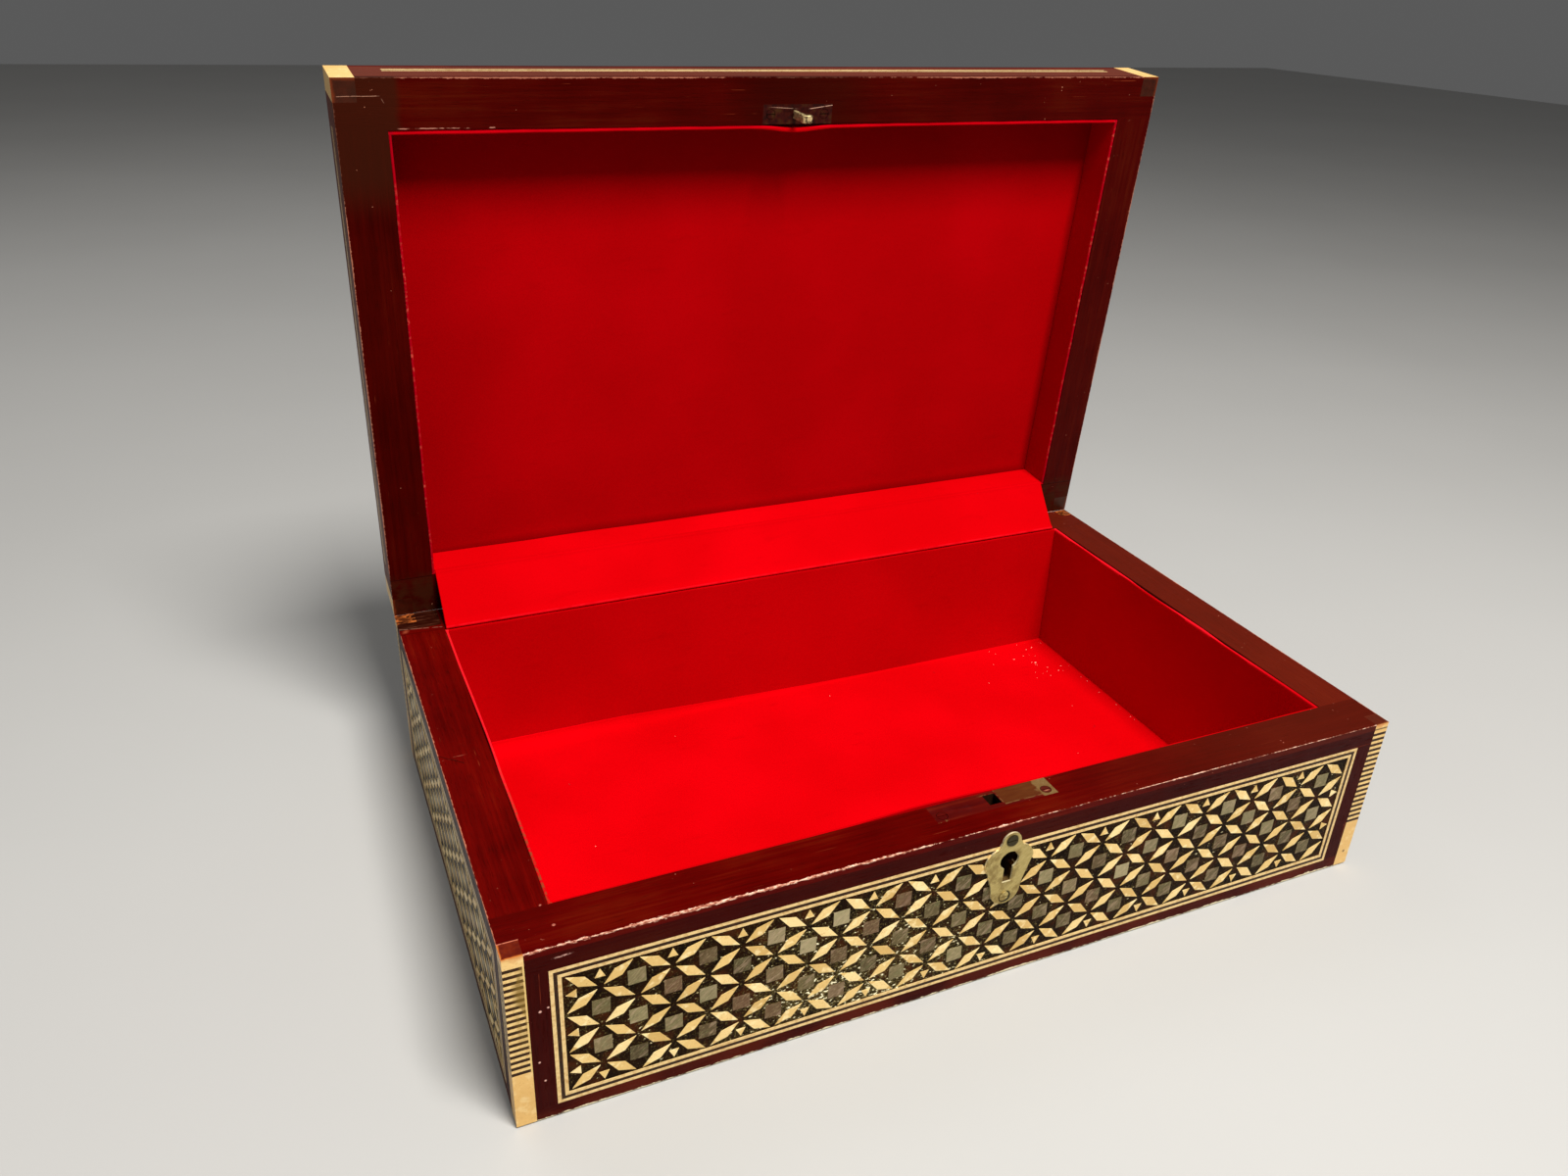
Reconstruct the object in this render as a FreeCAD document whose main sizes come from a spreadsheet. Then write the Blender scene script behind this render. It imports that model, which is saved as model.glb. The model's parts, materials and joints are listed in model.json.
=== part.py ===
import FreeCAD, Part
import math
import os
import random
from types import SimpleNamespace

import Sketcher
from FreeCAD import Placement, Rotation, Vector

# An inlaid jewellery box with its lid open, in millimetres.
# X runs along the front, Y to the back and Z up, and the origin is the middle of the underside.
# The lid is built shut and then turned open about its hinge pins.

LENGTHS = (
    ("body_width", 280),
    ("body_depth", 175),
    ("body_height", 57),
    ("lid_height", 18),
    ("inlay_thick", 1.6),
    ("board_thick", 13),
    ("lid_board_thick", 12.4),
    ("rim_strip_thick", 2),
    ("lid_gap", 0.1),
    ("felt_thick", 0.6),
    ("felt_inset", 0.4),
    ("bottom_thick", 2.4),
    ("bottom_rebate", 6),
    ("lining_thick", 0.8),
    ("lining_drop", 0.2),
    ("lid_panel_thick", 2),
    ("post_side", 5.2),
    ("post_foot_height", 18),
    ("post_dark_thick", 1),
    ("post_cap_height", 3.4),
    ("border_side", 5.6),
    ("border_top", 5.2),
    ("border_foot", 3.9),
    ("line_width", 1),
    ("lid_block_side", 6.5),
    ("lid_band_rise", 9.7),
    ("lid_band_inset", 15),
    ("rhomb_length", 9.6),
    ("rhomb_width", 3.3),
    ("pearl_side", 4.85),
    ("triangle_base", 2.8),
    ("triangle_height", 2.8),
    ("triangle_inset", 0.6),
    ("mastic_sink", 0.12),
    ("nail_length", 22),
    ("nail_radius", 0.6),
    ("nail_spacing", 17),
    ("escutcheon_thick", 0.6),
    ("escutcheon_foot", 28.9),
    ("escutcheon_foot_radius", 4.7),
    ("escutcheon_waist_half", 5),
    ("escutcheon_half", 7.8),
    ("escutcheon_flank_half", 6.4),
    ("escutcheon_brow_half", 6.9),
    ("escutcheon_neck_half", 4.1),
    ("escutcheon_head_radius", 3),
    ("escutcheon_height", 25),
    ("keyhole_rise", 15.5),
    ("keyhole_radius", 3.05),
    ("keyhole_slot_half", 1.5),
    ("keyhole_slot_depth", 7.8),
    ("escutcheon_screw_inset", 2.6),
    ("screw_head_radius", 1.75),
    ("screw_proud", 0.3),
    ("screw_shank_radius", 0.8),
    ("screw_shank_length", 6),
    ("screw_slot_width", 0.4),
    ("screw_slot_depth", 0.3),
    ("hole_clearance", 0.15),
    ("lock_plate_width", 39.2),
    ("lock_plate_depth", 7.4),
    ("lock_plate_thick", 1.5),
    ("lock_back_height", 28),
    ("lock_back_thick", 1.2),
    ("lock_screw_spacing", 17),
    ("lock_screw_setback", 4.9),
    ("lock_screw_radius", 1.5),
    ("hook_hole_width", 3.9),
    ("hook_hole_depth", 4.4),
    ("lock_case_width", 27),
    ("lock_case_height", 24),
    ("lock_case_depth", 6),
    ("lock_sheet_thick", 0.8),
    ("key_post_radius", 0.9),
    ("key_post_length", 11),
    ("bolt_throw", 2.8),
    ("bolt_length", 8.5),
    ("bolt_height", 2.3),
    ("bolt_thick", 2.5),
    ("bolt_clearance", 0.3),
    ("bolt_tail_length", 5.5),
    ("bolt_tail_height", 7),
    ("catch_width", 24),
    ("catch_depth", 6),
    ("catch_thick", 0.9),
    ("catch_screw_spacing", 9.3),
    ("catch_screw_radius", 1.4),
    ("catch_hook_length", 8.3),
    ("catch_hook_width", 3.3),
    ("catch_hook_thick", 2.4),
    ("catch_stem_width", 1.2),
    ("catch_toe_height", 1.5),
    ("hook_toe_clearance", 0.3),
    ("hinge_axis_setback", 0),
    ("hinge_spacing", 170),
    ("hinge_length", 25),
    ("hinge_leaf_depth", 9),
    ("hinge_leaf_thick", 0.8),
    ("knuckle_radius", 1.25),
    ("knuckle_length", 8),
    ("knuckle_gap", 0.2),
    ("pin_radius", 0.75),
    ("pin_clearance", 0.04),
    ("notch_clearance", 0.3),
    ("hinge_screw_radius", 1.2),
    ("hinge_screw_length", 5),
    ("hinge_screw_spacing", 8),
    ("hinge_screw_setback", 4),
    ("gusset_thick", 0.8),
    ("gusset_inset", 14.8),
    ("gusset_clearance", 0.3),
    ("cut_overrun", 1),
)
ANGLES = (("open_angle", 85),)
COUNTS = (
    ("front_columns", 27),
    ("side_columns", 16),
    ("front_rows", 6),
    ("lid_rows", 22),
    ("post_stripes", 35),
    ("nails_per_corner", 3),
)

doc = FreeCAD.newDocument("inlaid_box")
sheet = doc.addObject("Spreadsheet::Sheet", "sizes")
for row, (alias, number) in enumerate(LENGTHS + ANGLES + COUNTS, start=1):
    sheet.set("A%d" % row, alias)
    sheet.set("B%d" % row, str(number))
    sheet.setAlias("B%d" % row, alias)
doc.recompute()


class Size:
    """A size that keeps its expression in the sheet's names beside its value."""

    def __init__(self, text, value):
        self.text = text
        self.value = value

    def joined(self, sign, other, value):
        return Size("(%s %s %s)" % (self.text, sign, other.text), value)

    def __add__(self, other):
        other = sized(other)
        return self.joined("+", other, self.value + other.value)

    def __sub__(self, other):
        other = sized(other)
        return self.joined("-", other, self.value - other.value)

    def __mul__(self, other):
        other = sized(other)
        return self.joined("*", other, self.value * other.value)

    def __truediv__(self, other):
        other = sized(other)
        return self.joined("/", other, self.value / other.value)

    def __neg__(self):
        return sized(0) - self

    def __rmul__(self, other):
        return sized(other) * self

    def __float__(self):
        return float(self.value)


def sized(number):
    """A plain number as a size, and a size as it is."""
    return number if isinstance(number, Size) else Size(str(number), number)


mm = SimpleNamespace(**{alias: Size("sizes." + alias, getattr(sheet, alias)) for alias, _ in LENGTHS})
count = SimpleNamespace(**{alias: getattr(sheet, alias) for alias, _ in COUNTS})
open_angle = Size("sizes.open_angle", sheet.open_angle)

# Places that several pieces share.
half_width = mm.body_width / 2
half_depth = mm.body_depth / 2
wall_thick = mm.board_thick + mm.inlay_thick
lid_wall_thick = mm.lid_board_thick + mm.inlay_thick
rim_base = mm.body_height - mm.rim_strip_thick
floor_top = mm.felt_thick + mm.bottom_thick + mm.lining_thick
lid_rim = mm.body_height + mm.lid_gap
lid_top = lid_rim + mm.lid_height
lid_rim_top = lid_rim + mm.rim_strip_thick
lid_inlay_base = lid_top - mm.inlay_thick
lid_panel_base = lid_inlay_base - mm.lid_panel_thick
lid_ceiling = lid_panel_base - mm.lining_thick
hinge_y = half_depth + mm.hinge_axis_setback
hinge_z = mm.body_height + mm.lid_gap / 2
rim_inner_y = -half_depth + wall_thick
case_back_y = rim_inner_y - mm.lock_back_thick
case_front_y = case_back_y - mm.lock_case_depth
case_top = mm.body_height - mm.lock_plate_thick
case_foot = case_top - mm.lock_case_height
keyhole_z = mm.escutcheon_foot + mm.keyhole_rise
bolt_back_y = case_back_y - mm.bolt_clearance
bolt_front_y = bolt_back_y - mm.bolt_thick
hook_hole_front_y = case_back_y - mm.hook_hole_depth
hook_y = case_back_y - mm.hook_hole_depth / 2
hook_toe_top = lid_rim - mm.catch_hook_length + mm.catch_toe_height
bolt_base = hook_toe_top + mm.hook_toe_clearance

ALONG_X = Vector(1, 0, 0)
ALONG_Y = Vector(0, 1, 0)
ALONG_Z = Vector(0, 0, 1)
LID_TURN = "placement(vector(0; 0; 0); rotation(vector(1; 0; 0); -%s); vector(0; %s; %s))" % (
    open_angle.text, hinge_y.text, hinge_z.text)
# Faces of the body: the turn about Z of a piece that was drawn for the front, and its corner.
UPRIGHT = 90
HALF = 0.5
FACES = {
    "front": (0, -half_width, -half_depth),
    "right": (90, half_width, -half_depth),
    "rear": (180, half_width, half_depth),
    "left": (270, -half_width, half_depth),
}
SIDES = (-1, 1)

# How far the hand-set pieces stray, as shares of their sizes and of the play between them.
play_share = 0.25
length_share = 0.04
width_share = 0.08
rhomb_turn = math.radians(2)
nodes = []


def block(x_span, y_span, z_span):
    """A box between two planes on each axis, given in either order."""
    box = doc.addObject("Part::Box", "block")
    for axis, edge, span in zip("xyz", ("Length", "Width", "Height"), (x_span, y_span, z_span)):
        low, high = sorted((sized(span[0]), sized(span[1])), key=float)
        box.setExpression(edge, (high - low).text)
        box.setExpression("Placement.Base." + axis, low.text)
    return box


def rod(radius, length, start, direction=ALONG_Z):
    """A round bar from a point, along a direction."""
    bar = doc.addObject("Part::Cylinder", "rod")
    bar.setExpression("Radius", radius.text)
    bar.setExpression("Height", length.text)
    bar.Placement = Placement(Vector(), Rotation(ALONG_Z, direction))
    for axis, place in zip("xyz", start):
        bar.setExpression("Placement.Base." + axis, sized(place).text)
    return bar


def fuse(*pieces):
    """Several shapes joined in one."""
    joined = doc.addObject("Part::MultiFuse", "joined")
    joined.Shapes = list(pieces)
    return joined


def cut(base, *tools):
    """A shape with others taken out of it."""
    rest = doc.addObject("Part::Cut", "cut")
    rest.Base = base
    rest.Tool = tools[0] if len(tools) == 1 else fuse(*tools)
    return rest


def gathered(*pieces):
    """Separate pieces held together as one group."""
    group = doc.addObject("Part::Compound", "group")
    group.Links = list(pieces)
    return group


def node(name, *pieces, lid=False):
    """A finished sub-part; one of the lid's is turned open with it."""
    part = doc.addObject("Part::Compound", name)
    part.Label = name
    part.Links = list(pieces)
    if lid:
        part.setExpression("Placement", LID_TURN)
    nodes.append(part)
    return part


def shaped(name, solids, placement=Placement()):
    """Solids worked out in this file, then put in their place."""
    feature = doc.addObject("Part::Feature", name)
    feature.Shape = Part.makeCompound(solids)
    feature.Placement = placement
    return feature


def screw(head_radius, head_thick, length, start, direction):
    """A slotted screw; it starts at the seat of its head, and its shank runs along the direction."""
    back = -direction
    head = rod(head_radius, head_thick, start, back)
    shank = rod(mm.screw_shank_radius, length, start, direction)
    half_slot = mm.screw_slot_width / 2
    x, y, z = [sized(place) for place in start]
    if back.z:
        top = z + head_thick * back.z
        y_span = (y - half_slot, y + half_slot)
        z_span = (top - mm.screw_slot_depth * back.z, top + mm.cut_overrun * back.z)
    else:
        top = y + head_thick * back.y
        y_span = (top - mm.screw_slot_depth * back.y, top + mm.cut_overrun * back.y)
        z_span = (z - half_slot, z + half_slot)
    slot = block((x - head_radius * 2, x + head_radius * 2), y_span, z_span)
    return cut(fuse(head, shank), slot)


def shank_hole(length, start, direction):
    """The hole that a screw's shank or a nail sits in, a little wider and deeper than it."""
    return rod(mm.screw_shank_radius + mm.hole_clearance, length + mm.hole_clearance, start, direction)


def plate(name, x_span, y_span, thickness, holes, hole_radius, placement_z):
    """A flat metal plate with round holes, drawn on the plane of its underside and padded up."""
    body = doc.addObject("PartDesign::Body", name)
    sketch = body.newObject("Sketcher::SketchObject", name + "_outline")
    ground = next(plane for plane in body.Origin.OriginFeatures if plane.Role == "XY_Plane")
    sketch.AttachmentSupport = [(ground, "")]
    sketch.MapMode = "FlatFace"
    spans = [sorted((sized(span[0]), sized(span[1])), key=float) for span in (x_span, y_span)]
    corners = [(0, 0), (1, 0), (1, 1), (0, 1)]
    points = [Vector(float(spans[0][i]), float(spans[1][j]), 0) for i, j in corners]
    for index in range(len(points)):
        sketch.addGeometry(Part.LineSegment(points[index - 1], points[index]), False)
    for index in range(len(points)):
        sketch.addConstraint(Sketcher.Constraint("Coincident", index - 1 if index else 3, 2, index, 1))
    for index, turn in enumerate(("Vertical", "Horizontal", "Vertical", "Horizontal")):
        sketch.addConstraint(Sketcher.Constraint(turn, index))
    for line, axis, size in ((0, 0, spans[0][0]), (0, 1, spans[1][0]), (2, 0, spans[0][1]), (2, 1, spans[1][1])):
        place_centre(sketch, line, 2, axis, size)
    for x, y in holes:
        ring = Part.Circle(Vector(float(x), float(y), 0), ALONG_Z, float(hole_radius))
        index = sketch.addGeometry(ring, False)
        place_centre(sketch, index, 3, 0, sized(x))
        place_centre(sketch, index, 3, 1, sized(y))
        limit = sketch.addConstraint(Sketcher.Constraint("Radius", index, float(hole_radius)))
        sketch.setExpression("Constraints[%d]" % limit, hole_radius.text)
    pad = body.newObject("PartDesign::Pad", name + "_pad")
    pad.Profile = sketch
    pad.setExpression("Length", thickness.text)
    body.Tip = pad
    body.setExpression("Placement.Base.z", placement_z.text)
    return body


def place_centre(sketch, index, point, axis, size):
    """Hold one point of a sketch at a distance from its origin, along X or Y."""
    turn = ("DistanceX", "DistanceY")[axis]
    limit = sketch.addConstraint(Sketcher.Constraint(turn, -1, 1, index, point, float(size)))
    sketch.setExpression("Constraints[%d]" % limit, size.text)


def stand(thing, face):
    """Stand a piece drawn flat, with X along and Y up, on one face of the box, its top outward."""
    turn, x, y = FACES[face]
    thing.Placement = Placement(Vector(), Rotation(ALONG_Z, turn) * Rotation(ALONG_X, UPRIGHT))
    thing.setExpression("Placement.Base.x", x.text)
    thing.setExpression("Placement.Base.y", y.text)
    return thing


def lay_on_lid(thing):
    """Lay a piece drawn flat on the lid's top, with the lid shut."""
    for axis, place in zip("xyz", (-half_width, -half_depth, lid_top)):
        thing.setExpression("Placement.Base." + axis, place.text)
    return thing


def frame_strips(x_span, y_span, side, top, foot):
    """Four strips butted round the inside of a rectangle, and the rectangle that is left."""
    left, right = [sized(x) for x in x_span]
    low, high = [sized(y) for y in y_span]
    inner_x = (left + side, right - side)
    inner_y = (low + foot, high - top)
    depth = (-mm.inlay_thick, 0)
    strips = [
        block((left, right), (inner_y[1], high), depth),
        block((left, right), (low, inner_y[0]), depth),
        block((left, inner_x[0]), inner_y, depth),
        block((inner_x[1], right), inner_y, depth),
    ]
    return strips, inner_x, inner_y


def face_frame(width, x_inset, y_span, side, top, foot):
    """The border and three lines of stringing of one face, and the field inside them."""
    border, x_span, y_span = frame_strips((x_inset, width - x_inset), y_span, side, top, foot)
    line = mm.line_width
    outer, x_span, y_span = frame_strips(x_span, y_span, line, line, line)
    middle, x_span, y_span = frame_strips(x_span, y_span, line, line, line)
    inner, x_span, y_span = frame_strips(x_span, y_span, line, line, line)
    return SimpleNamespace(border=border, light=outer + inner, dark=middle, x_span=x_span, y_span=y_span)


def outline(points, z):
    """A closed outline at one height."""
    corners = [Vector(x, y, z) for x, y in points]
    return Part.makePolygon(corners + corners[:1])


def moved(points, centre, angle):
    """Points turned about the origin by an angle in radians and carried to a centre."""
    cosine, sine = math.cos(angle), math.sin(angle)
    return [(centre[0] + x * cosine - y * sine, centre[1] + x * sine + y * cosine) for x, y in points]


def lattice(field, columns, rows, seed):
    """The outlines of one field: bone rhombs along the diagonals of its cells, with a pearl square
    in the middle of each ring of four and a small bone triangle where the edge cuts a ring in two.
    Each piece is a little out of true, as cut and set by hand."""
    hand = random.Random(seed)
    left, low = float(field.x_span[0]), float(field.y_span[0])
    right, high = float(field.x_span[1]), float(field.y_span[1])
    step_x, step_y = (right - left) / columns, (high - low) / rows
    diagonal = math.hypot(step_x, step_y)
    slope = math.atan2(step_y, step_x)
    half_long, half_short = float(mm.rhomb_length) / 2, float(mm.rhomb_width) / 2
    half_pearl = float(mm.pearl_side) / 2
    half_base, tall = float(mm.triangle_base) / 2, float(mm.triangle_height)
    inset = float(mm.triangle_inset)
    reach = half_pearl * (math.cos(slope) + math.sin(slope))
    play = max(step_x * step_y / diagonal - half_short - reach, 0) * play_share

    def drift():
        return hand.uniform(-play, play)

    def grown(share):
        return 1 - hand.uniform(0, share)

    rhombs, pearls, triangles = [], [], []
    for i in range(columns):
        for j in range(rows):
            centre = (left + (i + HALF) * step_x + drift(), high - (j + HALF) * step_y + drift())
            angle = (slope if (i + j) % 2 else -slope) + hand.uniform(-rhomb_turn, rhomb_turn)
            long, short = half_long * grown(length_share), half_short * grown(width_share)
            corners = [(long, 0), (0, short), (-long, 0), (0, -short)]
            rhombs.append(moved(corners, centre, angle))
    for i in range(columns + 1):
        for j in range(rows + 1):
            on_side, on_end = i in (0, columns), j in (0, rows)
            if (i + j) % 2 == 0 or (on_side and on_end):
                continue
            x, y = left + i * step_x, high - j * step_y
            if on_side or on_end:
                turn = math.pi / 2 if i == 0 else -math.pi / 2 if i == columns else 0 if j == 0 else math.pi
                ahead = (-math.sin(turn), math.cos(turn))
                back = inset + tall
                centre = (x - ahead[0] * back, y - ahead[1] * back)
                size = grown(length_share)
                corners = [(-half_base * size, 0), (half_base * size, 0), (0, tall * size)]
                triangles.append(moved(corners, centre, turn + hand.uniform(-rhomb_turn, rhomb_turn)))
            else:
                half = half_pearl * grown(length_share)
                other = half_pearl * grown(length_share)
                corners = [(half, other), (-half, other), (-half, -other), (half, -other)]
                pearls.append(moved(corners, (x + drift(), y + drift()), hand.uniform(-rhomb_turn, rhomb_turn)))
    return rhombs, pearls, triangles


def field_pieces(field, columns, rows, seed, tools=()):
    """The solids of one field: its mastic with a hole for each piece, the bone and the pearl."""
    rhombs, pearls, triangles = lattice(field, columns, rows, seed)
    base, thick = -float(mm.inlay_thick), float(mm.inlay_thick)
    (left, right), (low, high) = [[float(edge) for edge in span] for span in (field.x_span, field.y_span)]
    rim = outline([(left, low), (right, low), (right, high), (left, high)], base)
    holes = [outline(points[::-1], base) for points in rhombs + pearls + triangles]
    mastic = Part.Face([rim] + holes).extrude(Vector(0, 0, thick - float(mm.mastic_sink)))
    bone, pearl = [[Part.Face(outline(points, base)).extrude(Vector(0, 0, thick)) for points in group]
                   for group in (rhombs + triangles, pearls)]
    return [pierced(solids, tools) for solids in ([mastic], bone, pearl)]


def pierced(solids, tools):
    """Solids with the tools cut out of those that they meet."""
    rest = []
    for solid in solids:
        for tool in tools:
            if solid.BoundBox.intersect(tool.BoundBox):
                solid = solid.cut(tool)
        rest.extend(solid.Solids)
    return rest


def lamellae(x, y):
    """The thin dark and light layers of one corner post, between its bone foot and cap."""
    side = float(mm.post_side)
    height = float(mm.felt_thick + mm.post_foot_height)
    rest = float(mm.body_height - mm.post_cap_height) - height
    dark_count = (count.post_stripes + 1) // 2
    light_count = count.post_stripes - dark_count
    dark_thick = float(mm.post_dark_thick)
    light_thick = (rest - dark_count * dark_thick) / light_count
    dark, light = [], []
    for index in range(count.post_stripes):
        layers, thick = (light, light_thick) if index % 2 else (dark, dark_thick)
        layers.append(Part.makeBox(side, side, thick, Vector(x, y, height)))
        height += thick
    return dark, light


# The base and the floor.
inner_x = (-half_width + wall_thick, half_width - wall_thick)
inner_y = (-half_depth + wall_thick, half_depth - wall_thick)
rebate_x = (inner_x[0] - mm.bottom_rebate, inner_x[1] + mm.bottom_rebate)
rebate_y = (inner_y[0] - mm.bottom_rebate, inner_y[1] + mm.bottom_rebate)
panel_top = mm.felt_thick + mm.bottom_thick
felt_x = (-half_width + mm.felt_inset, half_width - mm.felt_inset)
felt_y = (-half_depth + mm.felt_inset, half_depth - mm.felt_inset)
bottom = block(rebate_x, rebate_y, (mm.felt_thick, panel_top))
node("base_felt", block(felt_x, felt_y, (0, mm.felt_thick)))
node("bottom_panel", bottom)
node("floor_lining", block(inner_x, inner_y, (panel_top, floor_top)))

# The four linings of the walls, stiff cloth-covered boards that stand on the floor's lining.
lining_z = (floor_top, mm.body_height - mm.lining_drop)
lined_y = (inner_y[0] + mm.lining_thick, inner_y[1] - mm.lining_thick)
node(
    "wall_linings",
    block(inner_x, (inner_y[0], lined_y[0]), lining_z),
    block(inner_x, (lined_y[1], inner_y[1]), lining_z),
    block((inner_x[0], inner_x[0] + mm.lining_thick), lined_y, lining_z),
    block((inner_x[1] - mm.lining_thick, inner_x[1]), lined_y, lining_z),
)

# The corner posts: a bone foot, thin layers of dark and light wood, and a bone cap.
posts, blocks, dark_layers, light_layers = [], [], [], []
foot_top = mm.felt_thick + mm.post_foot_height
cap_base = mm.body_height - mm.post_cap_height
for side_x in SIDES:
    for side_y in SIDES:
        post_x = (side_x * half_width, side_x * (half_width - mm.post_side))
        post_y = (side_y * half_depth, side_y * (half_depth - mm.post_side))
        posts.append(block(post_x, post_y, (mm.felt_thick, mm.body_height)))
        blocks.append(block(post_x, post_y, (mm.felt_thick, foot_top)))
        blocks.append(block(post_x, post_y, (cap_base, mm.body_height)))
        dark, light = lamellae(min(float(x) for x in post_x), min(float(y) for y in post_y))
        dark_layers += dark
        light_layers += light
node("post_bone_blocks", *blocks)
node("post_dark_lamellae", shaped("dark_lamellae", dark_layers))
node("post_light_lamellae", shaped("light_lamellae", light_layers))

# The key's way in, through the escutcheon, the inlay, the board and the lock's case.
way_front_y = -half_depth - mm.escutcheon_thick - mm.cut_overrun
way_back_y = case_front_y + mm.lock_sheet_thick + mm.cut_overrun
keyhole = fuse(
    rod(mm.keyhole_radius, way_back_y - way_front_y, (0, way_front_y, keyhole_z), ALONG_Y),
    block(
        (-mm.keyhole_slot_half, mm.keyhole_slot_half),
        (way_front_y, way_back_y),
        (keyhole_z - mm.keyhole_slot_depth, keyhole_z),
    ),
)

# The escutcheon: its outline runs round its foot, waist, flank, brow, neck and head.
escutcheon_screw_z = (
    mm.escutcheon_foot + mm.escutcheon_screw_inset,
    mm.escutcheon_foot + mm.escutcheon_height - mm.escutcheon_screw_inset,
)
waist_share, flank_share, widest_share, brow_share, neck_share = 0.27, 0.45, 0.61, 0.72, 0.8


def escutcheon_side(side):
    """One side of the escutcheon's outline, from the end of its foot's arc up to its head's arc."""
    foot, tall = float(mm.escutcheon_foot), float(mm.escutcheon_height)
    head_z = foot + tall - float(mm.escutcheon_head_radius)
    low = Vector(side * float(mm.escutcheon_foot_radius), 0, foot + float(mm.escutcheon_foot_radius))
    waist = Vector(side * float(mm.escutcheon_waist_half), 0, foot + tall * waist_share)
    flank = Vector(side * float(mm.escutcheon_flank_half), 0, foot + tall * flank_share)
    widest = Vector(side * float(mm.escutcheon_half), 0, foot + tall * widest_share)
    brow = Vector(side * float(mm.escutcheon_brow_half), 0, foot + tall * brow_share)
    neck = Vector(side * float(mm.escutcheon_neck_half), 0, foot + tall * neck_share)
    head = Vector(side * float(mm.escutcheon_head_radius), 0, head_z)
    return [
        Part.makeLine(low, waist),
        Part.Arc(waist, flank, widest).toShape(),
        Part.Arc(widest, brow, neck).toShape(),
        Part.makeLine(neck, head),
    ]


def round_end(radius, centre_z, end_z):
    """The half circle at the foot or the head of the escutcheon."""
    left, right = Vector(-radius, 0, centre_z), Vector(radius, 0, centre_z)
    return Part.Arc(left, Vector(0, 0, end_z), right).toShape()


foot_z = float(mm.escutcheon_foot)
head_z = foot_z + float(mm.escutcheon_height)
foot_radius, head_radius = float(mm.escutcheon_foot_radius), float(mm.escutcheon_head_radius)
edges = escutcheon_side(1) + escutcheon_side(-1)
edges.append(round_end(foot_radius, foot_z + foot_radius, foot_z))
edges.append(round_end(head_radius, head_z - head_radius, head_z))
blank = Part.Face(Part.Wire(Part.sortEdges(edges)[0])).extrude(Vector(0, -float(mm.escutcheon_thick), 0))
escutcheon_blank = shaped("escutcheon_blank", [blank])
escutcheon_blank.setExpression("Placement.Base.y", (-half_depth).text)
escutcheon_screws, escutcheon_holes, head_holes = [], [], []
for z in escutcheon_screw_z:
    seat = (0, -half_depth, z)
    head_thick = mm.escutcheon_thick + mm.screw_proud
    escutcheon_screws.append(
        screw(mm.screw_head_radius, head_thick, mm.screw_shank_length, seat, ALONG_Y))
    escutcheon_holes.append(shank_hole(mm.screw_shank_length, seat, ALONG_Y))
    head_holes.append(rod(mm.screw_head_radius + mm.hole_clearance, head_thick, seat, -ALONG_Y))
node("escutcheon", cut(escutcheon_blank, keyhole, *head_holes))
node("escutcheon_screws", *escutcheon_screws)

# The lock: a plate let into the rim with a back that goes down inside, a case, a post and a bolt.
plate_x = (-mm.lock_plate_width / 2, mm.lock_plate_width / 2)
plate_y = (rim_inner_y - mm.lock_plate_depth, rim_inner_y)
lock_screw_y = rim_inner_y - mm.lock_screw_setback
lock_screw_x = (-mm.lock_screw_spacing, mm.lock_screw_spacing)
selvedge = plate(
    "lock_selvedge", plate_x, plate_y, mm.lock_plate_thick,
    [(x, lock_screw_y) for x in lock_screw_x], mm.lock_screw_radius + mm.hole_clearance, case_top)
lock_back = block(plate_x, (case_back_y, rim_inner_y), (mm.body_height - mm.lock_back_height, case_top))
hook_hole = block(
    (-mm.hook_hole_width / 2, mm.hook_hole_width / 2),
    (hook_hole_front_y, case_back_y),
    (case_top - mm.cut_overrun, mm.body_height + mm.cut_overrun),
)
node("lock_plate", cut(fuse(selvedge, lock_back), hook_hole))
plate_seat = block(plate_x, plate_y, (case_top, mm.body_height))

case_x = (-mm.lock_case_width / 2, mm.lock_case_width / 2)
case_block = block(case_x, (case_front_y, case_back_y), (case_foot, case_top))
case_space = block(
    (case_x[0] + mm.lock_sheet_thick, case_x[1] - mm.lock_sheet_thick),
    (case_front_y + mm.lock_sheet_thick, case_back_y + mm.cut_overrun),
    (case_foot + mm.lock_sheet_thick, case_top + mm.cut_overrun),
)
node("lock_case", cut(case_block, case_space, keyhole))
key_post_start = (0, case_back_y - mm.key_post_length, keyhole_z)
node("key_post", rod(mm.key_post_radius, mm.key_post_length, key_post_start, ALONG_Y))
# The bolt lies back by its throw from where it stops, just short of the hook's stem.
bolt_start = mm.bolt_throw + mm.bolt_clearance + mm.catch_stem_width - mm.catch_hook_width / 2
bolt_x = (bolt_start, bolt_start + mm.bolt_length)
bolt_y = (bolt_front_y, bolt_back_y)
bolt_bar = block(bolt_x, bolt_y, (bolt_base, bolt_base + mm.bolt_height))
bolt_tail = block((bolt_x[1] - mm.bolt_tail_length, bolt_x[1]), bolt_y, (bolt_base - mm.bolt_tail_height, bolt_base))
node("lock_bolt", fuse(bolt_bar, bolt_tail))
lock_screws, lock_holes = [], []
for x in lock_screw_x:
    seat = (x, lock_screw_y, case_top)
    lock_screws.append(screw(mm.lock_screw_radius, mm.lock_plate_thick, mm.screw_shank_length, seat, -ALONG_Z))
    lock_holes.append(shank_hole(mm.screw_shank_length, seat, -ALONG_Z))
node("lock_plate_screws", *lock_screws)

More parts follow.
